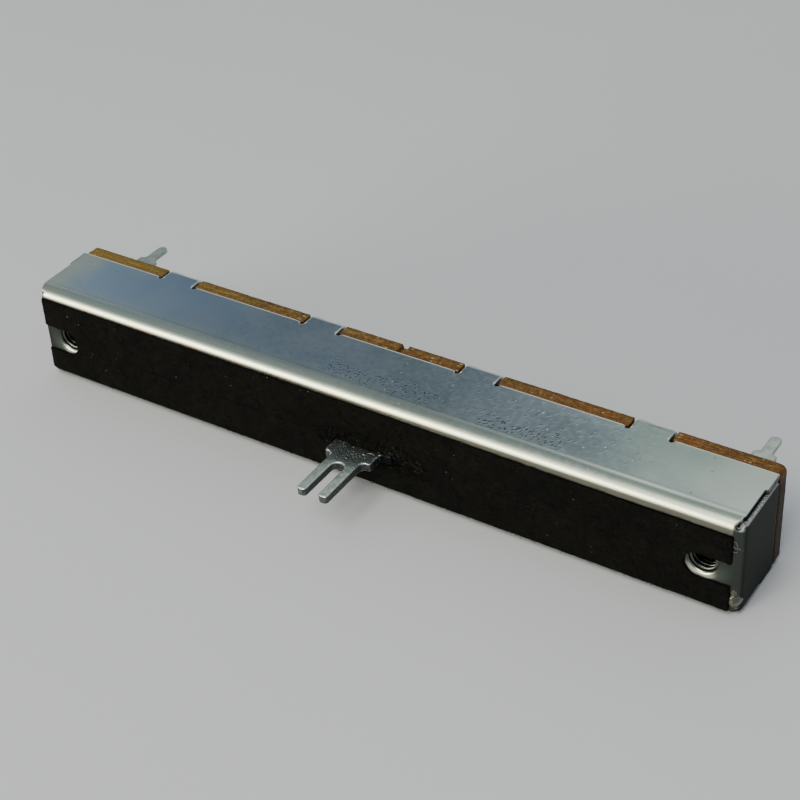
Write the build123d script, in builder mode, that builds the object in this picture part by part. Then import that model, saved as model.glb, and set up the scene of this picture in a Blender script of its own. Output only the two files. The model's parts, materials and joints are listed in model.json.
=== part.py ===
from build123d import *
import os

# A slide potentiometer with 60 mm of travel: a folded steel case, closed at the back by a board.
# It lies on one long side wall. X runs along the travel, Y from the panel face back to the
# board, and Z up, across the case. The origin is on the panel face, midway between its two
# tapped holes. All sizes are in millimetres.

# ---------------------------------------------------------------- driving dimensions
# Travel and the lengths that follow from it
travel = 60.0
hole_margin = 10.0  # end of the travel to the screw hole beyond it
end_margin = 4.0  # screw hole to the end of the case

# Case: one folded sheet
case_height = 12.0  # over the side walls
wall_depth = 8.7  # panel face to the back edge of the side walls
sheet = 0.6
fold_radius = 1.0  # outer radius of every fold
fold_end_spare = 0.05  # flat web between the end of a long fold and the fold of a flap
wall_end_gap = 0.4  # end of a side wall, back from the flap's outer face
wall_end_gap_back = 0.13  # the same, behind the step
wall_step_length = 3.0  # the step, in from the back edge of the wall
corner_relief = 0.45  # radius of the round relief where three folds meet
flap_back_gap = 0.4  # back edge of a flap to the board
flap_gap = 0.05  # between a flap and the side walls

# Crimp tabs on each side wall
tab_count = 4
tab_end_inset = 14.0  # end of the case to the middle of the first tab
tab_width = 4.3
tab_reach = 1.8  # how far a tab lies over the board
relief_width = 0.55
relief_depth = 0.45

# Tapped holes for the panel screws (M3)
thread_core_radius = 1.25
thread_outer_radius = 1.5
collar_radius = 2.0
collar_depth = 1.6  # how far a drawn collar stands in from the web

# Lever
rest_x = 0.65  # where the lever stands, from the middle of its travel
lever_z = -0.7  # middle of the lever's thickness
lever_thickness = 1.0
lever_reach = 9.55  # panel face to the prong tips
shoulder_reach = 2.9  # panel face to the shoulders
blade_width = 5.74
fork_width = 3.76
fork_gap = 1.56
fork_root_reach = 4.0  # panel face to the closed end of the gap
root_cover = 1.8  # carrier left behind the root of the lever
root_notch_depth = 0.5
root_notch_length = 1.0
shoulder_round = 0.3
prong_round = 0.42
throat_round = 0.35
slot_side_clearance = 0.6
slot_end_clearance = 0.6

# Felt dust cover
cover_thickness = 0.3
cover_end_inset = 1.05  # end of the case to the end of the felt
cover_height = 9.8
cover_z = -0.17
cover_skew = 0.2  # degrees, its right end lies lower
cover_slit_clearance = 0.2
cover_notch_width = 3.7
cover_notch_inset = 2.1  # closed end of a notch, in from the hole's centre

# Board
board_thickness = 1.6
board_corner = 0.8
board_notch_clearance = 0.3
board_notch_spare = 0.02
centre_notch_x = 0.2
centre_notch_width = 1.3
centre_notch_depth = 0.5
centre_notch_angle = 70  # degrees

# Slider carrier
carrier_length = 10.0
carrier_side_gap = 0.2
carrier_front_gap = 0.4  # web to carrier
carrier_chamfer = 0.4
wiper_room = 1.9  # carrier to board
rod_running_clearance = 0.05
rod_slot_spare = 0.3  # how much longer than wide the lower bore is
stake_radius = 0.45
stake_head_radius = 0.8
stake_head_height = 0.35
stake_head_taper = 30  # degrees

# Leaf springs between carrier and web
spring_offset_z = 3.0
spring_thickness = 0.15
spring_width = 1.6
spring_half_length = 4.0
spring_pocket_depth = 1.1
spring_pocket_spare = 0.2
spring_running_gap = 0.03

# Guide rods, the blocks that hold them and the pads that end the travel
rod_radius = 1.0
rod_wall_gap = 0.5  # rod to side wall
rod_seat_clearance = 0.01
rod_end_gap = 0.8  # rod end to the flap's inner face
rod_bore_spare = 0.1
block_side_gap = 0.05
block_chamfer = 0.6
block_eyelet_gap = 0.2
block_foot_length = 1.1
screw_well_radius = 2.4
screw_well_floor = 1.2
stop_pad_length = 1.2
stop_pad_height = 5.0
stop_pad_depth = 5.0
stop_gap = 0.1  # left between carrier and pad at the end of the travel

# Wiper and tracks
track_inset = 3.0  # long edge of the board to the middle of a track
track_width = 1.8
track_thickness = 0.05
track_pad_radius = 1.3
wiper_thickness = 0.15
wiper_plate_start = -4.4  # along X, from the middle of the carrier
wiper_plate_length = 3.6
wiper_plate_height = 8.8
finger_count = 3
finger_width = 0.5
finger_pitch = 0.8
finger_tip_x = 4.6
finger_contact_x = 3.9
finger_lift = 0.35  # how far a finger's tip turns back from the track
finger_gap = 0.02

# Terminals and eyelets
terminal_left_inset = 6.7  # end of the case to the middle of the terminal
terminal_right_inset = 3.1
terminal_wiper_inset = 3.1
terminal_edge_inset = 1.0  # long edge of the board to the outer side of the pin
terminal_thickness = 0.4
terminal_fold_radius = 0.6
terminal_shoulder_width = 2.5
terminal_shoulder_length = 2.0
terminal_pin_width = 1.25
terminal_length = 5.0  # from the board to the tip
terminal_foot_spare = 1.3  # foot beyond the middle of the eyelet
eyelet_radius = 0.7
eyelet_bore_radius = 0.45
eyelet_flange_radius = 1.1
eyelet_flange_thickness = 0.25
eyelet_clearance = 0.02

# ---------------------------------------------------------------- worked-out places
hole_pitch = travel + 2 * hole_margin
hole_x = hole_pitch / 2
case_length = hole_pitch + 2 * end_margin
half_length = case_length / 2
half_height = case_height / 2
inside_z = half_height - sheet
flap_inner_x = half_length - sheet
fold_end_x = half_length - fold_radius - fold_end_spare
wall_step_y = wall_depth - wall_step_length
tab_pitch = (case_length - 2 * tab_end_inset) / (tab_count - 1)
tab_places = [(i - (tab_count - 1) / 2) * tab_pitch for i in range(tab_count)]
slot_length = travel + blade_width + 2 * slot_end_clearance
notch_x = hole_x - cover_notch_inset + cover_notch_width / 2
board_front_y = wall_depth
board_back_y = board_front_y + board_thickness
track_y = board_front_y - track_thickness
track_z = half_height - track_inset
carrier_front_y = sheet + carrier_front_gap
carrier_back_y = board_front_y - wiper_room
root_end_y = carrier_back_y - root_cover
rod_y = (carrier_front_y + carrier_back_y) / 2
rod_z = inside_z - rod_wall_gap - rod_radius
rod_half_length = flap_inner_x - rod_end_gap
block_inner_x = travel / 2 + carrier_length / 2 + stop_gap + stop_pad_length
block_length = flap_inner_x - block_inner_x
block_back_y = track_y - eyelet_flange_thickness - block_eyelet_gap


def facing_front(y):
    """Plane at depth y that looks forwards: a negative amount goes deeper."""
    return Plane.XZ.offset(-y)


def folded_sheet(*corners, thickness, radius):
    """Adds a folded strip: its outer side runs along the corners, its metal is on their left."""
    with BuildLine() as strip:
        outer = FilletPolyline(*corners, radius=radius)
        offset(outer, amount=thickness, side=Side.LEFT)
    make_face(strip.edges())


# ---------------------------------------------------------------- case
with BuildPart() as case:
    # Web and side walls as one channel, open at the back
    with BuildSketch(Plane.YZ):
        folded_sheet(
            (wall_depth, half_height),
            (0, half_height),
            (0, -half_height),
            (wall_depth, -half_height),
            thickness=sheet,
            radius=fold_radius,
        )
    extrude(amount=half_length - wall_end_gap_back, both=True)
    # The ends of the side walls step back towards the web
    with BuildSketch(Plane.XY):
        with BuildLine():
            Polyline(
                (half_length, 0),
                (fold_end_x, 0),
                (fold_end_x, sheet),
                (half_length - wall_end_gap, fold_radius),
                (half_length - wall_end_gap, wall_step_y),
                (half_length - wall_end_gap_back, wall_step_y + wall_end_gap - wall_end_gap_back),
                (half_length, wall_step_y + wall_end_gap - wall_end_gap_back),
                close=True,
            )
        make_face()
        mirror(about=Plane.YZ)
    extrude(amount=case_height, both=True, mode=Mode.SUBTRACT)
    # End flaps, folded from the web
    with BuildSketch(Plane.XY):
        folded_sheet(
            (fold_end_x, 0),
            (half_length, 0),
            (half_length, wall_depth - flap_back_gap),
            thickness=sheet,
            radius=fold_radius,
        )
        mirror(about=Plane.YZ)
    extrude(amount=inside_z - flap_gap, both=True)
    # Round reliefs where web, wall and flap meet
    with BuildSketch(facing_front(0)):
        with GridLocations(2 * (fold_end_x + corner_relief), 2 * inside_z, 2, 2):
            Circle(corner_relief)
    extrude(amount=-fold_radius, mode=Mode.SUBTRACT)
    # Reliefs beside the tabs
    with BuildSketch(Plane.XY):
        for tab_x in tab_places:
            with Locations((tab_x, wall_depth)):
                with GridLocations(tab_width + relief_width, 0, 2, 1):
                    SlotOverall(2 * relief_depth, relief_width, rotation=90)
    extrude(amount=case_height, both=True, mode=Mode.SUBTRACT)
    # Tabs, folded over the back of the board
    for tab_x in tab_places:
        with BuildSketch(Plane.YZ.offset(tab_x - tab_width / 2)):
            folded_sheet(
                (board_back_y + sheet, half_height - tab_reach),
                (board_back_y + sheet, half_height),
                (wall_depth - relief_depth, half_height),
                thickness=sheet,
                radius=fold_radius,
            )
            mirror(about=Plane.XZ)
        extrude(amount=tab_width)
    # Drawn collars, the slot for the lever, and the screw holes
    with BuildSketch(facing_front(0)):
        with GridLocations(hole_pitch, 0, 2, 1):
            Circle(collar_radius)
    extrude(amount=-(sheet + collar_depth))
    with BuildSketch(facing_front(0)):
        with Locations((0, lever_z)):
            SlotOverall(slot_length, lever_thickness + 2 * slot_side_clearance)
    extrude(amount=-sheet, mode=Mode.SUBTRACT)
    with Locations(facing_front(0)):
        with GridLocations(hole_pitch, 0, 2, 1):
            CounterSinkHole(thread_core_radius, thread_outer_radius, sheet + collar_depth, 90)
case.part.label = "case"
export_step(case.part, "parts/case.step")

# ---------------------------------------------------------------- felt dust cover
with BuildPart() as dust_cover:
    with BuildSketch(facing_front(0)):
        with Locations(Location((0, cover_z), -cover_skew)):
            Rectangle(case_length - 2 * cover_end_inset, cover_height)
        with Locations((0, lever_z)):
            SlotOverall(slot_length, lever_thickness + 2 * cover_slit_clearance, mode=Mode.SUBTRACT)
        # A round-ended notch at each end leaves the screw holes free
        with Locations((0, cover_z)):
            with GridLocations(2 * notch_x, 0, 2, 1):
                Circle(cover_notch_width / 2, mode=Mode.SUBTRACT)
            with GridLocations(notch_x + half_length, 0, 2, 1):
                Rectangle(half_length - notch_x, cover_notch_width, mode=Mode.SUBTRACT)
    extrude(amount=cover_thickness)
dust_cover.part.label = "dust_cover"
export_step(dust_cover.part, "parts/dust_cover.step")


# ---------------------------------------------------------------- lever and its carrier
def lever_root():
    """Adds the part of the lever that the carrier grips: a blade with two side notches."""
    with Locations((rest_x, sheet)):
        Rectangle(blade_width, root_end_y - sheet, align=(Align.CENTER, Align.MIN))
    with Locations((rest_x, (carrier_front_y + root_end_y) / 2)):
        with GridLocations(blade_width - root_notch_depth, 0, 2, 1):
            Rectangle(root_notch_depth, root_notch_length, mode=Mode.SUBTRACT)


with BuildPart() as lever:
    with BuildSketch(Plane.XY.offset(lever_z - lever_thickness / 2)) as outline:
        lever_root()
        with Locations((rest_x, sheet)):
            Rectangle(blade_width, sheet + shoulder_reach, align=(Align.CENTER, Align.MAX))
        with Locations((rest_x, -shoulder_reach)):
            Rectangle(fork_width, lever_reach - shoulder_reach, align=(Align.CENTER, Align.MAX))
        tips = outline.vertices().group_by(Axis.Y)[0]
        shoulders = outline.vertices().group_by(Axis.Y)[1].sort_by(Axis.X)
        fillet([shoulders[0], shoulders[-1]], shoulder_round)
        fillet(shoulders[1:-1], throat_round)
        with Locations((rest_x, -fork_root_reach - fork_gap / 2)):
            Circle(fork_gap / 2, mode=Mode.SUBTRACT)
            Rectangle(fork_gap, lever_reach, align=(Align.CENTER, Align.MAX), mode=Mode.SUBTRACT)
        fillet(outline.vertices().group_by(Axis.Y)[0], prong_round)
    extrude(amount=lever_thickness)
lever.part.label = "lever"
export_step(lever.part, "parts/lever.step")

with BuildPart() as slider_carrier:
    with Locations((rest_x, carrier_front_y, 0)):
        Box(
            carrier_length,
            carrier_back_y - carrier_front_y,
            2 * (inside_z - carrier_side_gap),
            align=(Align.CENTER, Align.MIN, Align.CENTER),
        )
    chamfer(slider_carrier.edges().filter_by(Axis.Y), carrier_chamfer)
    # Pocket for the root of the lever
    with BuildSketch(Plane.XY.offset(lever_z - lever_thickness / 2)):
        lever_root()
    extrude(amount=lever_thickness, mode=Mode.SUBTRACT)
    # A round bore for the upper rod, and a longer one for the lower
    with BuildSketch(Plane.YZ.offset(rest_x - carrier_length / 2)):
        with Locations((rod_y, rod_z)):
            Circle(rod_radius + rod_running_clearance)
        with Locations((rod_y, -rod_z)):
            SlotOverall(
                2 * (rod_radius + rod_running_clearance) + rod_slot_spare,
                2 * (rod_radius + rod_running_clearance),
                rotation=90,
            )
    extrude(amount=carrier_length, mode=Mode.SUBTRACT)
    # Pockets for the leaf springs
    with BuildSketch(facing_front(carrier_front_y)):
        with Locations((rest_x, 0)):
            with GridLocations(0, 2 * spring_offset_z, 1, 2):
                Rectangle(
                    2 * (spring_half_length + spring_pocket_spare),
                    spring_width + 2 * spring_pocket_spare,
                )
    extrude(amount=-spring_pocket_depth, mode=Mode.SUBTRACT)
    # Heat-staked posts that hold the wiper
    with BuildSketch(facing_front(carrier_back_y)):
        with Locations((rest_x + wiper_plate_start + wiper_plate_length / 2, 0)):
            with GridLocations(0, 2 * track_z, 1, 2):
                Circle(stake_radius)
    extrude(amount=-wiper_thickness)
    with BuildSketch(facing_front(carrier_back_y + wiper_thickness)):
        with Locations((rest_x + wiper_plate_start + wiper_plate_length / 2, 0)):
            with GridLocations(0, 2 * track_z, 1, 2):
                Circle(stake_head_radius)
    extrude(amount=-stake_head_height, taper=stake_head_taper)
slider_carrier.part.label = "slider_carrier"
export_step(slider_carrier.part, "parts/slider_carrier.step")

# ---------------------------------------------------------------- leaf springs
spring_floor_y = carrier_front_y + spring_pocket_depth
for name, side in (("slider_spring_upper", 1), ("slider_spring_lower", -1)):
    with BuildPart() as slider_spring:
        with BuildSketch(Plane.XY.offset(side * spring_offset_z)):
            with BuildLine():
                bow = ThreePointArc(
                    (rest_x - spring_half_length, spring_floor_y - spring_thickness),
                    (rest_x, sheet + spring_running_gap),
                    (rest_x + spring_half_length, spring_floor_y - spring_thickness),
                )
                offset(bow, amount=spring_thickness, side=Side.LEFT)
            make_face()
        extrude(amount=spring_width / 2, both=True)
    slider_spring.part.label = name
    export_step(slider_spring.part, f"parts/{name}.step")

# ---------------------------------------------------------------- wiper
plate_y = carrier_back_y + wiper_thickness
with BuildPart() as wiper:
    with BuildSketch(facing_front(carrier_back_y)):
        with Locations((rest_x + wiper_plate_start, 0)):
            Rectangle(wiper_plate_length, wiper_plate_height, align=(Align.MIN, Align.CENTER))
        with Locations((rest_x + wiper_plate_start + wiper_plate_length / 2, 0)):
            with GridLocations(0, 2 * track_z, 1, 2):
                Circle(stake_radius, mode=Mode.SUBTRACT)
    extrude(amount=-wiper_thickness)
    # Fingers: each slopes to its track and turns back at the tip
    finger_start = rest_x + wiper_plate_start + wiper_plate_length
    for side in (1, -1):
        for i in range(finger_count):
            finger_z = side * track_z + (i - (finger_count - 1) / 2) * finger_pitch
            with BuildSketch(Plane.XY.offset(finger_z)):
                folded_sheet(
                    (rest_x + finger_tip_x, track_y - finger_gap - finger_lift),
                    (rest_x + finger_contact_x, track_y - finger_gap),
                    (finger_start, plate_y),
                    (finger_start - finger_width, plate_y),
                    thickness=wiper_thickness,
                    radius=finger_lift / 2,
                )
            extrude(amount=finger_width / 2, both=True)
wiper.part.label = "wiper"
export_step(wiper.part, "parts/wiper.step")

# ---------------------------------------------------------------- guide rods
for name, side in (("guide_rod_upper", 1), ("guide_rod_lower", -1)):
    with BuildPart() as guide_rod:
        with BuildSketch(Plane.YZ):
            with Locations((rod_y, side * rod_z)):
                Circle(rod_radius)
        extrude(amount=rod_half_length, both=True)
    guide_rod.part.label = name
    export_step(guide_rod.part, f"parts/{name}.step")

# ---------------------------------------------------------------- rod blocks and stop pads
for name, side in (("rod_block_left", -1), ("rod_block_right", 1)):
    with BuildPart() as rod_block:
        with BuildSketch(Plane.XY):
            with Locations((side * (block_inner_x + block_length / 2), sheet)):
                Rectangle(block_length, block_back_y - sheet, align=(Align.CENTER, Align.MIN))
            with Locations((side * (flap_inner_x - block_foot_length / 2), sheet)):
                Rectangle(block_foot_length, board_front_y - sheet, align=(Align.CENTER, Align.MIN))
        extrude(amount=inside_z - block_side_gap, both=True)
        # Its front edges clear the folds of the case
        chamfer(rod_block.faces().sort_by(Axis.Y)[0].edges(), block_chamfer)
        # Well for the collar and the screw
        with BuildSketch(facing_front(sheet)):
            with Locations((side * hole_x, 0)):
                Circle(screw_well_radius)
        extrude(amount=-(block_back_y - sheet - screw_well_floor), mode=Mode.SUBTRACT)
        # Seats for the rods
        with BuildSketch(Plane.YZ):
            with Locations((rod_y, rod_z), (rod_y, -rod_z)):
                Circle(rod_radius + rod_seat_clearance)
        extrude(amount=side * (rod_half_length + rod_bore_spare), mode=Mode.SUBTRACT)
    rod_block.part.label = name
    export_step(rod_block.part, f"parts/{name}.step")

for name, side in (("stop_pad_left", -1), ("stop_pad_right", 1)):
    with BuildPart() as stop_pad:
        with Locations((side * (block_inner_x - stop_pad_length / 2), rod_y, 0)):
            Box(stop_pad_length, stop_pad_depth, stop_pad_height)
    stop_pad.part.label = name
    export_step(stop_pad.part, f"parts/{name}.step")

# ---------------------------------------------------------------- board and tracks
left_x = -half_length + terminal_left_inset
right_x = half_length - terminal_right_inset
wiper_x = -half_length + terminal_wiper_inset
terminal_places = [("left", left_x, 1), ("right", right_x, 1), ("wiper", wiper_x, -1)]
with BuildPart() as board:
    with BuildSketch(facing_front(board_front_y)):
        RectangleRounded(case_length, case_height, board_corner)
        # Notches for the tabs
        with GridLocations(tab_pitch, case_height, tab_count, 2):
            Rectangle(
                tab_width + 2 * board_notch_clearance,
                2 * (fold_radius + board_notch_spare),
                mode=Mode.SUBTRACT,
            )
        with Locations((centre_notch_x, half_height)):
            Trapezoid(
                centre_notch_width,
                2 * centre_notch_depth,
                centre_notch_angle,
                rotation=180,
                mode=Mode.SUBTRACT,
            )
        for _, eyelet_x, side in terminal_places:
            with Locations((eyelet_x, side * track_z)):
                Circle(eyelet_radius + eyelet_clearance, mode=Mode.SUBTRACT)
    extrude(amount=-board_thickness)
board.part.label = "board"
export_step(board.part, "parts/board.step")


def track_outline(start_x, end_x, z):
    """Adds a printed track between two places along X."""
    with Locations(((start_x + end_x) / 2, z)):
        Rectangle(abs(end_x - start_x), track_width)


def track_pad(x, z):
    """Adds the round end of a track, around an eyelet."""
    with Locations((x, z)):
        Circle(track_pad_radius)
        Circle(eyelet_radius + eyelet_clearance, mode=Mode.SUBTRACT)


with BuildPart() as resistive_track:
    with BuildSketch(facing_front(track_y)):
        track_outline(left_x, right_x, track_z)
        track_pad(left_x, track_z)
        track_pad(right_x, track_z)
    extrude(amount=-track_thickness)
resistive_track.part.label = "resistive_track"
export_step(resistive_track.part, "parts/resistive_track.step")

with BuildPart() as collector_track:
    with BuildSketch(facing_front(track_y)):
        track_outline(wiper_x, block_inner_x, -track_z)
        track_pad(wiper_x, -track_z)
    extrude(amount=-track_thickness)
collector_track.part.label = "collector_track"
export_step(collector_track.part, "parts/collector_track.step")

# ---------------------------------------------------------------- terminals and eyelets
for end, x, side in terminal_places:
    with BuildPart() as terminal:
        # Foot on the board, folded up into the pin
        with BuildSketch(Plane.YZ.offset(x)):
            folded_sheet(
                (board_back_y + terminal_length, half_height - terminal_edge_inset),
                (board_back_y, half_height - terminal_edge_inset),
                (board_back_y, track_z - terminal_foot_spare),
                thickness=terminal_thickness,
                radius=terminal_fold_radius,
            )
            if side < 0:
                mirror(about=Plane.XZ, mode=Mode.REPLACE)
        extrude(amount=terminal_shoulder_width / 2, both=True)
        # Beyond the shoulders it narrows to a round-ended pin
        with BuildSketch(Plane.XY):
            with Locations((x, board_back_y + terminal_shoulder_length)):
                Rectangle(
                    2 * terminal_shoulder_width,
                    terminal_length,
                    align=(Align.CENTER, Align.MIN),
                )
                Rectangle(
                    terminal_pin_width,
                    terminal_length - terminal_shoulder_length - terminal_pin_width / 2,
                    align=(Align.CENTER, Align.MIN),
                    mode=Mode.SUBTRACT,
                )
            with Locations((x, board_back_y + terminal_length - terminal_pin_width / 2)):
                Circle(terminal_pin_width / 2, mode=Mode.SUBTRACT)
        extrude(amount=case_height, both=True, mode=Mode.SUBTRACT)
        with BuildSketch(facing_front(board_back_y)):
            with Locations((x, side * track_z)):
                Circle(eyelet_radius + eyelet_clearance)
        extrude(amount=-terminal_thickness, mode=Mode.SUBTRACT)
    terminal.part.label = f"terminal_{end}"
    export_step(terminal.part, f"parts/terminal_{end}.step")

    with BuildPart() as eyelet:
        with BuildSketch(facing_front(track_y - eyelet_flange_thickness)):
            with Locations((x, side * track_z)):
                Circle(eyelet_flange_radius)
        extrude(amount=-eyelet_flange_thickness)
        with BuildSketch(facing_front(track_y)):
            with Locations((x, side * track_z)):
                Circle(eyelet_radius)
        extrude(amount=-(track_thickness + board_thickness + terminal_thickness))
        with BuildSketch(facing_front(board_back_y + terminal_thickness)):
            with Locations((x, side * track_z)):
                Circle(eyelet_flange_radius)
        extrude(amount=-eyelet_flange_thickness)
        with BuildSketch(facing_front(0)):
            with Locations((x, side * track_z)):
                Circle(eyelet_bore_radius)
        extrude(amount=-2 * board_back_y, mode=Mode.SUBTRACT)
    eyelet.part.label = f"eyelet_{end}"
    export_step(eyelet.part, f"parts/eyelet_{end}.step")
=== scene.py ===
"""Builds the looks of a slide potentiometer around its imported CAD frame.

Sheet parts are made the way the real ones are: an outline is cut from flat stock, its edges
are rolled over, and the blank is folded into place. Lengths in the geometry code are in
millimetres, and meshes are scaled to metres when they become objects.
"""

import json
import math
import random
from types import SimpleNamespace

import bpy
import numpy as np
from mathutils import Matrix, Vector, noise
from mathutils.geometry import delaunay_2d_cdt


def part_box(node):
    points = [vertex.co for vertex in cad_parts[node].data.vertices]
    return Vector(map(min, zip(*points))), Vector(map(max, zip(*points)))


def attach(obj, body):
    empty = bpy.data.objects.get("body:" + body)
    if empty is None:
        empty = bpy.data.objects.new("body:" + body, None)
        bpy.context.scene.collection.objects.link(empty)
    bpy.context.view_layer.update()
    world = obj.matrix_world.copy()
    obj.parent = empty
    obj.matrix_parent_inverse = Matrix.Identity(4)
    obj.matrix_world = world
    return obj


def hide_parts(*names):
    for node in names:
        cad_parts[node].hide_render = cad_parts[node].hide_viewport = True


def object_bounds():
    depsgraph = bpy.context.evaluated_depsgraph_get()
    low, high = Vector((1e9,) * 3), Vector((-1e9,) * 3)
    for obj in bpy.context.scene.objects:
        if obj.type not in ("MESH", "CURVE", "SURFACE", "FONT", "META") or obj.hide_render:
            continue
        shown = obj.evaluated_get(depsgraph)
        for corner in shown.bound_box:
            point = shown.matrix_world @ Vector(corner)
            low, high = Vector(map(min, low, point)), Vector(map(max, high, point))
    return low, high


bl_info = {
    "name": "Slide potentiometer",
    "version": (1, 0, 0),
    "blender": (4, 5, 0),
    "location": "View3D > Sidebar > Slide Pot",
    "description": "Builds a panel slide potentiometer with a felt dust cover and a fork lever",
    "category": "Object",
}

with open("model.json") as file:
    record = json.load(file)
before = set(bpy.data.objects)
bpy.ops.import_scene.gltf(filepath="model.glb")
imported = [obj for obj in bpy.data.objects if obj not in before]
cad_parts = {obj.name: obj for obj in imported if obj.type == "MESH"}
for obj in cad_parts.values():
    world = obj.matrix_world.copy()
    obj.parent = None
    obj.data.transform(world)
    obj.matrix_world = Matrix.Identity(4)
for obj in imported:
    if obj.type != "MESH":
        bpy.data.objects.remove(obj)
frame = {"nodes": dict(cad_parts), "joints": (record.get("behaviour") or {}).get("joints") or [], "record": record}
CAD_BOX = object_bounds()
MM = 0.001
QUARTER = math.pi / 2


def cad_box(node):
    """Lowest and highest corner of a CAD node, in millimetres."""
    low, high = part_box(node)
    return low / MM, high / MM


CASE = cad_box("case")
COVER = cad_box("dust_cover")
LEVER = cad_box("lever")
BOARD = cad_box("board")
TERMINALS = {name: cad_box(f"terminal_{name}") for name in ("left", "right", "wiper")}
EYELETS = {name: cad_box(f"eyelet_{name}") for name in TERMINALS}
SCREWS = next(m for m in frame["record"]["mounts"] if m["name"] == "panel_screws")
HOLE_X = SCREWS["dims"]["spacing_x_mm"] / 2
TRAVEL = [limit / MM for limit in frame["joints"][0]["range_m"]]
LEVER_X = (LEVER[0].x + LEVER[1].x) / 2
LEVER_Z = (LEVER[0].z + LEVER[1].z) / 2
HALF_BLADE = (LEVER[1].x - LEVER[0].x) / 2
TAB_STEPS = (-1.5, -0.5, 0.5, 1.5)  # the tabs' places, in tab pitches from the middle


# ------------------------------------------------------------------ wiring of node trees
class Signal:
    """A socket of a node tree, on which arithmetic adds Math nodes."""

    def __init__(self, wiring, socket):
        self.wiring = wiring
        self.socket = socket

    def _math(self, operation, *values):
        settings = {"operation": operation}
        return self.wiring.add("ShaderNodeMath", settings, dict(enumerate(values)))

    def __add__(self, other):
        return self._math("ADD", self, other)

    def __sub__(self, other):
        return self._math("SUBTRACT", self, other)

    def __rsub__(self, other):
        return self._math("SUBTRACT", other, self)

    def __mul__(self, other):
        return self._math("MULTIPLY", self, other)

    def __truediv__(self, other):
        return self._math("DIVIDE", self, other)

    def __abs__(self):
        return self._math("ABSOLUTE", self)

    def root(self):
        return self._math("SQRT", self)

    def step(self, low, high):
        """0 where the value is at low, 1 where it is at high, and smooth between them."""
        return self.wiring.add(
            "ShaderNodeMapRange",
            {"interpolation_type": "SMOOTHSTEP"},
            {"Value": self, "From Min": low, "From Max": high},
        )

    def fall(self, low, high):
        """1 where the value is at low, 0 where it is at high, and smooth between them."""
        return 1 - self.step(low, high)

    __radd__ = __add__
    __rmul__ = __mul__


class Wiring:
    """A node tree being wired. One method adds every node."""

    def __init__(self, tree):
        self.tree = tree

    def feed(self, socket, value):
        if isinstance(value, Signal):
            self.tree.links.new(value.socket, socket)
        else:
            socket.default_value = value

    def add(self, kind, settings=(), sockets=(), output=0):
        """Adds a node, with its settings and then its sockets, and gives one of its outputs."""
        node = self.tree.nodes.new(kind)
        for key, value in dict(settings).items():
            setattr(node, key, value)
        for key, value in dict(sockets).items():
            self.feed(node.inputs[key], value)
        return Signal(self, node.outputs[output]) if node.outputs else node


class Finish(Wiring):
    """A procedural material, patterned on the object's coordinates in millimetres."""

    def __init__(self, name):
        self.material = bpy.data.materials.new(name)
        self.material.use_nodes = True
        super().__init__(self.material.node_tree)
        self.tree.nodes.clear()
        where = self.add("ShaderNodeTexCoord", output="Object")
        self.where = self.scaled(where, 1 / MM, 1 / MM, 1 / MM)

    def scaled(self, vector, x, y, z):
        """A vector multiplied along each axis."""
        sockets = {0: vector, 1: (x, y, z)}
        return self.add("ShaderNodeVectorMath", {"operation": "MULTIPLY"}, sockets)

    def axis(self, letter):
        return self.add("ShaderNodeSeparateXYZ", sockets={0: self.where}, output=letter)

    def attribute(self, name):
        return self.add("ShaderNodeAttribute", {"attribute_name": name}, output="Fac")

    def turned(self, angle):
        """The coordinates turned about Z, so that a pattern can run at an angle to X."""
        sockets = {"Vector": self.where, "Angle": -angle}
        return self.add("ShaderNodeVectorRotate", {"rotation_type": "Z_AXIS"}, sockets)

    def noise(self, per_mm, detail=2.0, stretch=(1, 1, 1), distortion=0.0):
        """Cloudy noise from 0 to 1. A small stretch along an axis draws it out that way."""
        vector = self.scaled(self.where, *stretch)
        sockets = {"Vector": vector, "Scale": per_mm, "Detail": detail, "Distortion": distortion}
        return self.add("ShaderNodeTexNoise", sockets=sockets)

    def cells(self, per_mm, stretch=(1, 1, 1), where=None, space="3D"):
        """Distance from the middle of the nearest of many scattered cells."""
        vector = self.scaled(where or self.where, *stretch)
        sockets = {"Vector": vector, "Scale": per_mm}
        return self.add("ShaderNodeTexVoronoi", {"voronoi_dimensions": space}, sockets)

    def blend(self, factor, first, second):
        """Mixes two colours."""
        colours = [c if isinstance(c, Signal) else (*c, 1) for c in (first, second)]
        sockets = {0: factor, 6: colours[0], 7: colours[1]}
        return self.add("ShaderNodeMix", {"data_type": "RGBA"}, sockets, output=2)

    def near(self, letter, middle, half_width, soft):
        """1 close to a place along an axis, and 0 away from it."""
        return abs(self.axis(letter) - middle).fall(half_width, half_width + soft)

    def paint(self, mask, colour):
        """Lays a colour over the base colour where the mask is 1."""
        self.base = self.blend(mask, self.base, colour)

    def surface(self, height=None, **constants):
        """Ends the material in a Principled shader. Height is a bump in millimetres."""
        sockets = {"Base Color": self.base}
        sockets |= {key.replace("_", " "): value for key, value in constants.items()}
        if height is not None:
            bump = {"Strength": 1.0, "Distance": MM, "Height": height}
            sockets["Normal"] = self.add("ShaderNodeBump", sockets=bump)
        sockets = {k: (*v, 1) if isinstance(v, tuple) else v for k, v in sockets.items()}
        shader = self.add("ShaderNodeBsdfPrincipled", sockets=sockets)
        self.add("ShaderNodeOutputMaterial", sockets={"Surface": shader})
        return self.material


# ------------------------------------------------------------------ finishes
def darker(tint, share):
    """A colour with a share of its brightness."""
    return tuple(c * share for c in tint)


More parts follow.
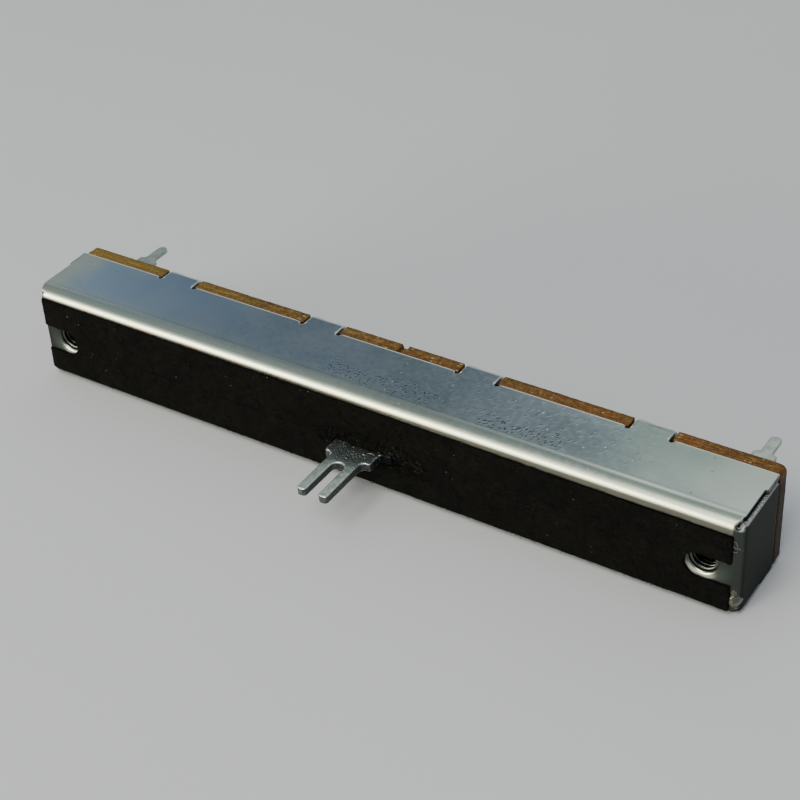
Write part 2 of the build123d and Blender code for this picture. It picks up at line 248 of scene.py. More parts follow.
def plated_steel(look):
    """Satin tin plating over folded sheet, mottled and scuffed, with painted reflections and painted highlights.
    """
    f = Finish("plated_steel")
    cut = f.attribute("cut")
    x, y, z = f.axis("X"), f.axis("Y"), f.axis("Z")
    grain = f.noise(9.0, 3)
    clouds = f.noise(0.16, 3, distortion=0.6)
    lines = f.noise(1.0, 2, stretch=(0.05, 5.0, 5.0))
    top = z.step(5.7, 5.95)
    along = x + (f.noise(0.10, 2) - 0.5) * 22
    # Painted reflection: a bluish tint left of the middle and a greyer tint across the middle stand in for the
    # surroundings that the top reflects.
    blue_reflection = along.step(-42, -37) * along.fall(-26, 2)
    slate_reflection = along.step(-28, -8) * along.fall(24, 42)
    dark = along.step(-6, 9) * along.fall(30, 42)
    right = x.step(22, 32) * (1 - x.step(35, 41) * 0.6)
    f.base = f.blend(blue_reflection * 0.95, look.plate_colour, look.stain_blue)
    f.paint(slate_reflection * 0.9, look.stain_grey)
    # Painted sheen: the plating's own colour comes back towards the fold.
    f.paint(y.fall(1.4, 3.4) * 0.45, look.plate_colour)
    f.paint(clouds.step(0.45, 0.62) * 0.2, look.plate_colour)
    # Painted reflection: darker from the middle rightwards, and a darker green-grey on the right, more so towards
    # the back.
    f.paint(dark * 0.5, (0.13, 0.165, 0.185))
    f.paint(right * (y.step(2, 8) * 0.35 + 0.35), (0.25, 0.33, 0.28))
    # Painted reflection: a darker green band along the fold and the front of the top.
    f.paint(y.fall(0.9, 2.1) * 0.58, (0.25, 0.305, 0.225))
    # Painted reflection: a darker spot right of the middle.
    dark_reflection_patch = f.near("X", 23.5, 2.0, 4.0) * f.near("Y", 4.4, 1.4, 2.4)
    f.paint(dark_reflection_patch * 0.45, (0.13, 0.165, 0.185))
    mottle = f.noise(1.5, 4, distortion=0.6)
    f.paint(mottle.step(0.45, 0.65) * slate_reflection * 0.16, (0.52, 0.60, 0.58))
    f.paint(mottle.fall(0.34, 0.46) * slate_reflection * 0.2, (0.14, 0.18, 0.22))
    # Scuffs: crowds of small dents near the fold and strokes above them, darkened with painted shade, each with a
    # painted highlight on one side.
    slant = f.turned(1.0)
    beside_it = f.add("ShaderNodeVectorMath", {"operation": "ADD"}, {0: slant, 1: (0.03, 0.11, 0)})
    low = f.near("X", look.scuff_x, 3.0, 5.0) * f.near("Y", 2.7, 0.5, 1.1)
    low = low + f.near("X", look.scuff_x - 16, 5.0, 5.0) * f.near("Y", 3.1, 0.7, 1.4)
    high = f.near("X", look.scuff_x, 6.0, 12.0) * f.near("Y", 5.0, 2.2, 2.6)
    spread = f.noise(2.6, 1) * 0.5 - 0.25
    shape, long = (0.6, 1.1, 1.0), (0.36, 1.4, 1.0)
    dents = (f.cells(2.6, shape, slant, "2D") + spread).fall(0.14, 0.32)
    painted_lit_side = (f.cells(2.6, shape, beside_it, "2D") + spread).fall(0.14, 0.34) * (1 - dents)
    crowd = (f.noise(0.9, 3) + low * 0.36 - 0.30).step(0.40, 0.52) * top
    strokes = (f.cells(1.5, long, slant, "2D") + spread).fall(0.06, 0.20)
    painted_shine = (f.cells(1.5, long, beside_it, "2D") + spread).fall(0.06, 0.22) * (1 - strokes)
    loose = (f.noise(0.6, 3) + high * 0.22 - 0.20).step(0.42, 0.52) * top
    # A painted dark reflection line near where the top bends into the fold.
    painted_fold_line = f.near("Y", 1.7, 0.05, 0.22) * f.noise(0.5, 2, stretch=(0.4, 1, 1)).step(0.35, 0.65)
    f.paint(strokes * loose * 0.45, (0.06, 0.085, 0.11))
    f.paint(painted_shine * loose * 0.45, (0.60, 0.68, 0.66))
    f.paint(dents * crowd * 0.7, (0.04, 0.055, 0.07))
    f.paint(painted_lit_side * crowd * 0.5, (0.60, 0.67, 0.65))
    f.paint(painted_fold_line * top * 0.25, (0.22, 0.25, 0.24))
    # Painted highlights: sparse glints on the scuffed top.
    painted_glints = f.cells(0.5, (0.7, 1, 1), slant, "2D").fall(0.02, 0.05) * slate_reflection * top
    f.paint(painted_glints * f.noise(0.8, 1).step(0.55, 0.61), (0.95, 0.97, 0.95))
    # The upper fold and the collars' mouths get a painted highlight and the fold's upper part painted shade; the
    # front, the lower fold and the ends are painted dark as painted reflection.
    beside = abs(x).step(43.75, 43.95)
    wall = abs(z).step(4.74, 4.88) * (1 - beside)
    end = x.step(42.75, 42.95)
    shade = f.near("Y", 0.74, 0.14, 0.22) * z.step(5.3, 5.6) * x.fall(8, 30)
    f.paint(shade * 0.5, (0.15, 0.185, 0.14))
    fold = z.step(4.74, 4.88) * (1 - beside) * y.fall(0.16, 0.55) * (1 - cut) * (1 - end)
    f.paint(fold * 0.9, look.fold_colour)
    strip = end * y.fall(0.10, 0.20)
    # A painted highlight line where the top bends into the fold, stronger on the right.
    dip = f.near("Y", 1.28, 0.12, 0.25) * z.step(5.5, 5.7)
    f.paint(dip * (right * 0.45 + 0.35), (0.75, 0.82, 0.70))
    under = z.fall(-5.0, -4.9) * y.fall(0.8, 1.2)
    off_x = abs(x) - HOLE_X
    off_hole = (off_x * off_x + z * z).root()
    # A painted highlight on the lower part of each collar's mouth, and a lighter halo round each hole where less
    # painted dark reflection is laid.
    mouth = off_hole.fall(1.95, 2.4) * z.fall(-2.0, -0.5) * off_x.fall(0.3, 1.8)
    halo = off_hole.fall(1.9, 3.4) * z.fall(-2.0, 0.8) * 0.22 * (1 - mouth)
    # Painted dark reflection on the front web, the lower fold and in front of the right reliefs.
    f.paint((1 - wall * (1 - strip) + under) * (1 - mouth - halo) * 0.96, look.plate_dull)
    # The painted highlight's dimmer tail on the web just above the felt.
    lip = z.step(4.15, 4.25) * z.fall(4.80, 5.25) * y.fall(0.2, 0.4) * (1 - end)
    f.paint(lip, (0.21, 0.205, 0.16))
    f.paint(mouth * 0.8, look.fold_colour)
    # The end flaps are painted near black: painted dark reflection.
    f.paint(beside * 0.9, (0.036, 0.038, 0.034))
    # A painted highlight along the crests of the tabs' folds.
    crown_highlight = y.step(9.85, 10.08) * abs(z).step(5.3, 5.6) * (1 - beside)
    # Cut edges: a pale burr with a painted highlight, weaker on the lower edges and by the right reliefs, beside a
    # grey sheared side.
    side = cut.step(0.90, 0.99)
    rim = cut.step(0.32, 0.56) * (1 - side)
    torn = f.blend(f.noise(4.5, 3).step(0.42, 0.60), (0.24, 0.25, 0.24), look.cut_colour)
    f.paint(side * 0.85, torn)
    # Painted shade: the sheared sides are darker away from the case's ends.
    f.paint(side * abs(x).fall(42.4, 42.8) * 0.5, (0.12, 0.13, 0.12))
    burr = rim * 0.55 * (1 - end * y.fall(0.6, 0.9) * 0.85)
    burr = burr * (z.step(-4.0, -2.0) * 0.85 + 0.15)
    f.paint(burr + crown_highlight * 0.85, look.burr_colour)
    # The upper wall's rear edge has a pale burr with a painted highlight, most of all in the notches beside the
    # tabs.
    back = cut.step(0.06, 0.30) * (1 - side) * y.step(8.45, 8.60)
    back = back * y.fall(8.74, 8.86) * z.step(5.5, 5.8) * (1 - x.step(41.0, 42.5) * 0.7)
    pitch = look.tab_pitch / MM
    off_tab = abs(abs(abs(x) - pitch) - pitch / 2)  # from the middle of the nearest tab
    rear = f.near("Y", 8.61, 0.08, 0.07) * off_tab.step(2.70, 2.85) * z.step(5.5, 5.7)
    rear = rear * (1 - x.step(28, 42) * 0.5) * (f.noise(0.5, 2) * 0.5 + 0.5)
    f.paint(back * 0.9 + rear, (0.80, 0.78, 0.64))
    # Painted shade: the gaps beside the right flap, the corner reliefs and the screw holes are painted near black,
    # and the lower ends dark as painted reflection.
    gap = cut.step(0.5, 0.8) * x.step(43.3, 43.45) * abs(z).step(5.36, 5.44)
    f.paint(gap * (0.98 - y.step(5.6, 6.2) * 0.45), (0.010, 0.010, 0.010))
    relief = side * y.fall(0.30, 0.45) * abs(z).fall(5.30, 5.36)
    relief = relief * abs(x).step(42.6, 42.8)
    f.paint(relief * 0.92, (0.010, 0.010, 0.010))
    painted_low_end = z.fall(-5.0, -4.7) * abs(x).step(42.5, 42.8)
    f.paint(painted_low_end * 0.85, (0.025, 0.028, 0.026))
    bore = off_hole.fall(1.58, 1.70) * y.step(0.16, 0.35)
    f.paint(bore * 0.97, (0.015, 0.015, 0.013))
    rough = clouds * 0.08 + grain * 0.10 + fold * 0.15 + lines * 0.06 + bore * 0.2 + cut * 0.2
    height = grain * (fold * 0.005 + 0.0016) + f.noise(4.5, 2) * fold * 0.008
    height = height + lines * 0.0022 + clouds * 0.02 - dents * crowd * 0.03
    metal = 1 - rim * 0.45 - side * 0.4 * (1 - gap) - crown_highlight * 0.65 - back * 0.4 - rear * 0.5
    return f.surface(
        height, Metallic=metal, Roughness=rough + 0.18, Specular_Tint=(0.5, 0.5, 0.5)
    )


def felt(look, name="black_felt", fuzz=0.0):
    """Pressed wool felt, brownish black, with matted fibres. Fuzz is the share of rubbed fibres."""
    f = Finish(name)
    mat = f.noise(6.0, 5, distortion=1.2)
    hairs = abs(f.noise(2.2, 4, distortion=2.5) - 0.5).fall(0.0, 0.05)
    clouds = f.noise(0.22, 3)
    crumbs = f.noise(2.4, 4, stretch=(0.8, 1, 1.4), distortion=1.5).step(0.48, 0.70)
    crumbs = crumbs * f.noise(0.7, 2).step(0.40, 0.60)
    crumbs = crumbs * (f.near("X", LEVER_X + 6.2, 2.0, 2.5) * fuzz + 0.10)
    f.base = f.blend(clouds.step(0.35, 0.68), look.felt_dark, look.felt_brown)
    f.paint(hairs * 0.35 + mat.step(0.5, 0.8) * 0.2, look.felt_fibre)
    f.paint(crumbs, look.felt_rubbed)
    height = mat * 0.06 + hairs * 0.03 + clouds * 0.05
    return f.surface(height, Roughness=0.96, Specular_IOR_Level=0.06)


def lever_steel(look):
    """Nickel plated stamping, pitted on its root, with torn cut sides painted dark as painted reflection."""
    f = Finish("lever_steel")
    cut = f.attribute("cut")
    side = cut.step(0.84, 0.97)
    rim = cut.step(0.3, 0.58) * (1 - side)
    grain = f.noise(6.0, 4)
    mottle = f.noise(2.2, 4, distortion=0.8)
    root = f.axis("Y").step(-4.9, -2.9)
    pits = f.cells(3.0).fall(0.16, 0.36) * f.noise(1.6, 2).step(0.40, 0.52)
    pits = pits * (root * 0.88 + 0.12)
    specks = f.cells(3.7).fall(0.10, 0.26) * f.noise(1.2, 1).step(0.46, 0.54) * root
    x = (f.axis("X") - (LEVER_X + 2.06)) * 0.7
    y = f.axis("Y") + 1.50
    ring = abs((x * x + y * y).root() - 0.42).fall(0.03, 0.10)
    ring = ring * y.step(-0.25, -0.05) * f.axis("Z").step(LEVER[1].z - 0.1, LEVER[1].z - 0.03)
    shear = f.noise(2.5, 4, stretch=(3.0, 3.0, 0.7))
    f.base = f.blend(mottle.step(0.36, 0.64), look.lever_bright, look.lever_grey)
    f.paint(root * 0.80, (0.15, 0.185, 0.165))
    f.paint(pits * 0.9, (0.03, 0.037, 0.037))
    f.paint(side * 0.95, f.blend(shear.step(0.40, 0.66), look.cut_dark, look.cut_grey))
    # Rims painted pale: worn plating and a painted highlight.
    worn = rim * (f.noise(3.0, 3).step(0.38, 0.60) * 0.6 + 0.2)
    f.paint(worn + specks * 0.9, (0.95, 0.96, 0.93))
    # The arm at the felt is painted near black: painted shade under the felt's lips.
    arm = f.axis("X").step(LEVER[1].x - 0.05, LEVER[1].x + 0.1)
    f.paint(arm * 0.97, (0.006, 0.008, 0.010))
    rough = grain * 0.14 + pits * 0.2 + side * 0.14 + mottle * 0.10 + 0.24
    height = grain * 0.010 + mottle * 0.03 - pits * 0.08 + specks * 0.05 + root * grain * 0.05
    height = height + shear * side * 0.06 + ring * 0.05
    return f.surface(height, Metallic=1 - specks * 0.3, Roughness=rough)


def phenolic(look):
    """Brown paper-phenolic laminate. Its sawn edges are grainy, with pale fibres and chips."""
    f = Finish("phenolic")
    cut, x, z = f.attribute("cut"), f.axis("X"), f.axis("Z")
    layers = f.noise(1.0, 4, stretch=(0.14, 6.0, 0.14))
    fibres = f.noise(1.0, 3, stretch=(0.7, 5.0, 0.7), distortion=0.8)
    blotches = f.noise(1.3, 4, distortion=0.6)
    crumbs = f.noise(3.6, 3)
    chips = f.cells(1.3, (0.8, 1.6, 0.8)).fall(0.10, 0.24) * f.noise(0.5, 2).step(0.46, 0.56)
    clouds = f.noise(0.10, 3)
    weave = f.noise(2.2, 4, distortion=0.8)
    pale = (layers * 0.6 + blotches * 0.4).step(0.38, 0.60)
    f.base = f.blend(pale, look.board_dark, look.board_light)
    f.paint(clouds.step(0.42, 0.58) * 0.3 + x.step(-15, 35) * 0.5, look.board_orange)
    f.paint(crumbs.step(0.56, 0.70) * 0.5, look.board_fibre)
    f.paint(fibres.step(0.60, 0.72) * 0.4, look.board_fibre)
    f.paint(crumbs.fall(0.32, 0.45) * 0.7, (0.035, 0.018, 0.005))
    f.paint(x.fall(-40, -12) * 0.35, (0.27, 0.19, 0.03))
    middle = f.near("Y", (BOARD[0].y + BOARD[1].y) / 2, 0.12, 0.25) * fibres.step(0.46, 0.60)
    f.paint(middle * 0.4, look.board_fibre)
    f.paint(x.step(-10, 6) * 0.2, (0.035, 0.018, 0.005))
    f.paint(chips * 0.55, (0.72, 0.56, 0.28))
    shaded = x.step(43.6, 43.9) * z.fall(4.2, 5.8)
    f.paint(shaded * 0.85, (0.018, 0.010, 0.008))
    face = f.blend(clouds * 0.6 + weave * 0.4, look.board_dark, look.board_face)
    f.base = f.blend(cut.step(0.2, 0.9), face, f.base)
    rough = weave * 0.2 + cut * 0.2 + 0.38
    height = weave * 0.01 + cut * (layers * 0.05 + fibres * 0.05 + crumbs * 0.08)
    height = height - cut * chips * 0.03
    return f.surface(height, Roughness=rough, Specular_IOR_Level=0.3)


def tinned(name, light, stain, scale=3.0):
    """Matte plated metal with a fine crystalline surface, duller where it was cut."""
    f = Finish(name)
    cut = f.attribute("cut")
    clouds = f.noise(scale * 0.35, 3)
    grain = f.noise(scale * 4, 3)
    f.base = f.blend(clouds.step(0.35, 0.7), light, stain)
    f.paint(cut.step(0.3, 0.9) * 0.35, darker(stain, 0.6))
    rough = clouds * 0.14 + grain * 0.14 + 0.30
    height = grain * 0.004 + clouds * 0.012
    return f.surface(height, Metallic=1.0, Roughness=rough)


def moulded(name, light, shade, dullness=0.45):
    """Moulded plastic or rubber: faint flow marks and a fine texture from the tool."""
    f = Finish(name)
    flow = f.noise(0.5, 3, distortion=0.8)
    grain = f.noise(10.0, 2)
    f.base = f.blend(flow.step(0.3, 0.75), light, shade)
    height = grain * 0.004 + flow * 0.008
    return f.surface(height, Roughness=flow * 0.1 + grain * 0.1 + dullness)


def drawn(name, light, shade, dullness=0.12, hole_shade=0.0):
    """Drawn or rolled metal with fine lines along X, painted near black deep in a hole as painted shade."""
    f = Finish(name)
    lines = f.noise(1.0, 3, stretch=(0.2, 12.0, 12.0))
    clouds = f.noise(0.6, 2)
    f.base = f.blend(lines * 0.5 + clouds * 0.4, light, shade)
    f.paint(f.axis("Y").step(0.8, 1.5) * hole_shade, (0.012, 0.012, 0.011))
    height = lines * 0.002
    rough = lines * 0.14 + clouds * 0.06 + dullness
    return f.surface(height, Metallic=1.0, Roughness=rough)


def printed(name, light, shade, metallic):
    """A screen-printed film, slightly uneven in thickness."""
    f = Finish(name)
    film = f.noise(4.0, 3)
    clouds = f.noise(0.4, 2)
    f.base = f.blend(clouds * 0.6 + film * 0.3, light, shade)
    return f.surface(film * 0.004, Metallic=metallic, Roughness=film * 0.2 + 0.42)


def glue(look):
    """Dried yellowish glue with trapped bubbles."""
    f = Finish("dried_glue")
    bubbles = f.cells(4.0).fall(0.05, 0.25)
    clouds = f.noise(1.4, 3)
    f.base = f.blend(clouds.step(0.3, 0.7), look.glue_colour, darker(look.glue_colour, 0.55))
    f.paint(bubbles * 0.25, (0.6, 0.58, 0.46))
    return f.surface(
        clouds * 0.05 + bubbles * 0.02,
        Roughness=clouds * 0.2 + 0.12,
        Coat_Weight=0.6,
        Transmission_Weight=0.25,
    )


def lint(look):
    """Pale dust and stray fibres."""
    f = Finish("lint")
    clouds = f.noise(1.2, 2)
    f.base = f.blend(clouds.step(0.35, 0.65), look.lint_pale, look.lint_grey)
    return f.surface(Roughness=0.9)


def floor_finish(look):
    """Pale matte table top."""
    f = Finish("pale_floor")
    clouds = f.noise(0.02, 3)
    f.base = f.blend(clouds.step(0.3, 0.7), look.floor_colour, darker(look.floor_colour, 0.985))
    return f.surface(Roughness=clouds * 0.1 + 0.7)


# ------------------------------------------------------------------ outlines
def arc(centre, radius, start, end, steps):
    """Points on an arc between two angles in degrees, ends included."""
    angles = np.radians(np.linspace(start, end, steps + 1))
    return [(centre[0] + radius * math.cos(a), centre[1] + radius * math.sin(a)) for a in angles]


def sharp(points):
    """Points as (x, y, radius) corners without a radius."""
    return [(x, y, 0) for x, y in points]


def mirrored(corners, x=-1, y=1):
    """The corners of the other half of an outline, in reverse order."""
    return [(x * a, y * b, radius) for a, b, radius in reversed(corners)]


def uneven(points, *waves):
    """Points shifted by noise, each wave an (amount, waves per mm, seed for x, seed for y)."""
    shifted = []
    for x, y in points:
        new_x, new_y = x, y
        for amount, scale, seed_x, seed_y in waves:
            new_x += amount * noise.noise((x * scale, y * scale, seed_x))
            new_y += amount * noise.noise((x * scale, y * scale, seed_y))
        shifted.append((new_x, new_y))
    return shifted


def rounded(corners, steps=5):
    """A closed outline from (x, y, radius) corners, each rounded with its radius."""
    outline = []
    for i, (x, y, radius) in enumerate(corners):
        corner = Vector((x, y))
        before = Vector(corners[i - 1][:2]) - corner
        after = Vector(corners[(i + 1) % len(corners)][:2]) - corner
        if radius == 0:
            outline.append((x, y))
            continue
        half_angle = before.angle(after) / 2
        reach = radius / math.tan(half_angle)
        first = before.normalized() * reach
        last = after.normalized() * reach
        middle = (before.normalized() + after.normalized()).normalized()
        middle = middle * radius / math.sin(half_angle)
        start, end = first - middle, last - middle
        sweep = start.angle_signed(end)
        for k in range(steps + 1):
            turned = Matrix.Rotation(-sweep * k / steps, 2) @ start
            outline.append(tuple(corner + middle + turned))
    return outline


def spaced(outline, spacing):
    """The same closed outline, with long edges divided."""
    points = []
    for start, end in zip(outline, outline[1:] + outline[:1]):
        start, end = Vector(start), Vector(end)
        parts = max(1, round((end - start).length / spacing))
        points += [tuple(start.lerp(end, k / parts)) for k in range(parts)]
    return points


def turning(loop, left):
    """The loop as an array that runs with its metal on the left, or on the right."""
    points = np.array(loop, float)
    following = np.roll(points, -1, 0)
    area = np.sum(points[:, 0] * following[:, 1] - following[:, 0] * points[:, 1])
    return points if (area > 0) == left else points[::-1]


def inset(points, amount):
    """A loop moved to its left, into the metal."""
    before = points - np.roll(points, 1, 0)
    after = np.roll(points, -1, 0) - points
    sides = []
    for step in (before, after):
        step = step / np.linalg.norm(step, axis=1)[:, None]
        sides.append(np.stack([-step[:, 1], step[:, 0]], 1))
    slope = 1 + np.sum(sides[0] * sides[1], 1)
    return points + amount * (sides[0] + sides[1]) / np.maximum(slope, 0.4)[:, None]


def inside(points, loops):
    """Which points lie inside the first loop and outside the others, by the even-odd rule."""
    x, y = points[:, 0], points[:, 1]
    crossings = np.zeros(len(points), int)
    for loop in loops:
        following = np.roll(loop, -1, 0)
        for (x0, y0), (x1, y1) in zip(loop, following):
            if y0 == y1:
                continue
            spans = (y0 > y) != (y1 > y)
            crossings += spans & (x < x0 + (y - y0) * (x1 - x0) / (y1 - y0))
    return crossings % 2 == 1


def clear_of(points, loops, margin):
    """Those points that keep a distance from every edge of the loops."""
    near = np.full(len(points), np.inf)
    for loop in loops:
        following = np.roll(loop, -1, 0)
        for start, end in zip(loop, following):
            along = end - start
            share = np.clip((points - start) @ along / (along @ along), 0, 1)
            near = np.minimum(near, np.linalg.norm(points - start - share[:, None] * along, axis=1))
    return points[near > margin]


def grid(columns, rows):
    """Points at every crossing of the columns and the rows."""
    return [(x, y) for x in columns for y in rows]


def joined_rings(rings, around, first=0):
    """Faces between rings of points, the first ring starting at a given index."""
    faces = []
    for ring in range(rings - 1):
        for k in range(around):
            a, b = first + ring * around + k, first + ring * around + (k + 1) % around
            faces.append((a, a + around, b + around, b))
    return faces


def fold_drop(x, radius):
    """How far the front has turned back at this place of an end flap's fold."""
    over = max(0.0, abs(x) - (CASE[1].x - radius))
    return radius - math.sqrt(max(0.0, radius**2 - over**2))


# ------------------------------------------------------------------ solids
RING = 0.09  # flat ring inside a rolled edge, over which the cut's finish fades out
UNTRUE = 0.012  # how far a stamped face and its outline stray from true
HEADINGS = (((1, 0), (0, 1)), ((0, 1), (-1, 0)), ((-1, 0), (0, -1)))  # after 0, 1 and 2 folds


class Shell:
    """The vertices and faces of a piece in millimetres. cut is 1 where an edge was sheared."""

    def __init__(self):
        self.points = []
        self.faces = []
        self.cut = []

    def add(self, points, faces, cut=None):
        start = len(self.points)
        self.points += [tuple(p) for p in points]
        self.faces += [tuple(start + i for i in face) for face in faces]
        self.cut += list(cut) if cut is not None else [0.0] * len(points)

    def add_blank(self, loops, inner, place, thickness, roll, back_roll, layers=2, rough=0.0):
        """A piece of sheet. place(x, y, depth) folds a point of the flat blank into position.

        loops holds (outline, is rolled) pairs, the outer one first. roll and back_roll are the
        radii of the edges on the outer and the inner side, rough the unevenness of the cut.
        """
        outlines = [turning(loop, i == 0) for i, (loop, _) in enumerate(loops)]
        flat, depth, cut, links, rims = [], [], [], [], []
        for points, (_, rolled) in zip(outlines, loops):
            edge = roll if rolled else 0.0
            steps = [(0, 1, 1), (0.29, 0.29, 0.75), (1, 0, 0.6)] if rolled else [(0, 0, 0)]
            for share, sunk, cutness in steps:
                start, total = len(flat), len(points)
                flat += list(inset(points, edge * share))
                depth += [edge * sunk] * total
                cut += [cutness] * total
                links += [(start + i, start + (i + 1) % total) for i in range(total)]
                if share == 0:
                    rims.append((start, points))
            flat += list(inset(points, edge + RING))
            depth += [0.0] * len(points)
            cut += [0.0] * len(points)
        kept = clear_of(np.array(inner, float), outlines, roll + RING + 0.06)
        flat += list(kept)
        depth += [0.0] * len(kept)
        cut += [0.0] * len(kept)
        flat, depth = np.array(flat), np.array(depth)
        plane = [Vector(p) for p in flat]
        _, _, triangles, origin, _, _ = delaunay_2d_cdt(plane, links, [], 0, 1e-7)
        source = [ids[0] if ids else -1 for ids in origin]
        corners = np.array([[source[i] for i in t] for t in triangles])
        corners = corners[(corners >= 0).all(1)]
        corners = corners[inside(flat[corners].mean(1), outlines)]
        a, b, c = flat[corners[:, 0]], flat[corners[:, 1]], flat[corners[:, 2]]
        b, c = b - a, c - a
        area = b[:, 0] * c[:, 1] - c[:, 0] * b[:, 1]
        wide = np.abs(area) > 1e-9
        corners, area = corners[wide], area[wide]
        corners[area < 0] = corners[area < 0][:, ::-1]
        total = len(flat)
        ratio = back_roll / roll if roll else 0.0
        front = [place(x, y, d) for (x, y), d in zip(flat, depth)]
        back = [place(x, y, thickness - d * ratio) for (x, y), d in zip(flat, depth)]
        faces = [tuple(t) for t in corners] + [tuple(total + i for i in t[::-1]) for t in corners]
        points, cuts = front + back, cut + cut
        for start, loop in rims:
            around = len(loop)
            first = [start + i for i in range(around)]
            last = [total + i for i in first]
            rolled = cut[start] > 0
            top = roll if rolled else 0.0
            base = thickness - (back_roll if rolled else 0.0)
            outward = loop - inset(loop, 1.0)
            outward /= np.linalg.norm(outward, axis=1)[:, None]
            for layer in range(1, layers + 1):
                if layer == layers:
                    following = last
                else:
                    level = top + (base - top) * layer / layers
                    following = list(range(len(points), len(points) + around))
                    for (x, y), (dx, dy) in zip(loop, outward):
                        shift = rough * noise.noise((x * 3, y * 3, level * 4))
                        points.append(place(x + dx * shift, y + dy * shift, level))
                        cuts.append(float(rolled))
                faces += [
                    (first[(i + 1) % around], first[i], following[i], following[(i + 1) % around])
                    for i in range(around)
                ]
                first = following
        self.add(points, faces, cuts)

    def add_turned(self, profile, place, segments, cut=0.0):
        """A ring: a closed profile of (radius, depth) turned round an axis."""
        sides = len(profile)
        points = []
        for k in range(segments):
            angle = 2 * math.pi * k / segments
            points += [place(r * math.cos(angle), r * math.sin(angle), d) for r, d in profile]
        faces = []
        for k in range(segments):
            this, other = k * sides, (k + 1) % segments * sides
            for i in range(sides):
                j = (i + 1) % sides
                faces.append((this + i, this + j, other + j, other + i))
        self.add(points, faces, [cut] * len(points))

    def piece(self, name, material, body, slot, crease=50):
        """Makes the piece, shades it and lets it ride on its body."""
        mesh = bpy.data.meshes.new(name)
        mesh.from_pydata([Vector(p) * MM for p in self.points], [], self.faces)
        layer = mesh.attributes.new("cut", "FLOAT", "POINT")
        layer.data.foreach_set("value", np.array(self.cut, np.float32))
        mesh.validate()
        mesh.shade_smooth()
        mesh.set_sharp_from_angle(angle=math.radians(crease))
        return placed(name, mesh, material, body)


def placed(name, mesh, material, body):
    """Links a mesh as a piece that rides on a body."""
    piece = bpy.data.objects.new(name, mesh)
    bpy.context.scene.collection.objects.link(piece)
    mesh.materials.clear()
    mesh.materials.append(material)
    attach(piece, body)
    return piece


def plain_mesh(source):
    """The evaluated shape of a new object as a plain mesh. The object is removed."""
    bpy.context.scene.collection.objects.link(source)
    evaluated = source.evaluated_get(bpy.context.evaluated_depsgraph_get())
    mesh = bpy.data.meshes.new_from_object(evaluated)
    bpy.data.objects.remove(source)
    return mesh


def folded(runs, *radii):
    """Gives a function that bends a flat strip inwards by a right angle after each run."""

    def along(distance, depth):
        ahead, inwards = 0.0, 0.0
        for i, (run, (step, side)) in enumerate(zip(runs, HEADINGS)):
            if distance <= run or i == len(runs) - 1:
                return (
                    ahead + step[0] * distance + side[0] * depth,
                    inwards + step[1] * distance + side[1] * depth,
                )
            ahead, inwards = ahead + step[0] * run, inwards + step[1] * run
            distance -= run
            radius = radii[min(i, len(radii) - 1)]
            centre = (ahead + side[0] * radius, inwards + side[1] * radius)
            if distance < radius * QUARTER:
                angle = distance / radius
                reach = radius - depth
                return (
                    centre[0] + reach * (step[0] * math.sin(angle) - side[0] * math.cos(angle)),
                    centre[1] + reach * (step[1] * math.sin(angle) - side[1] * math.cos(angle)),
                )
            ahead, inwards = centre[0] + step[0] * radius, centre[1] + step[1] * radius
            distance -= radius * QUARTER

    return along


# ------------------------------------------------------------------ settings
def size(label, text, millimetres):
    return bpy.props.FloatProperty(
        name=label, description=text, default=millimetres * MM, unit="LENGTH", precision=5
    )


def colour(label, text, value):
    return bpy.props.FloatVectorProperty(
        name=label, description=text, default=value, min=0.0, max=1.0, subtype="COLOR"
    )


def count(label, text, value):
    return bpy.props.IntProperty(name=label, description=text, default=value, min=0)


def sizes(group):
    """The lengths in a group of settings, in millimetres."""
    lengths = [p.identifier for p in group.bl_rna.properties if p.unit == "LENGTH"]
    return SimpleNamespace(**{key: getattr(group, key) / MM for key in lengths})


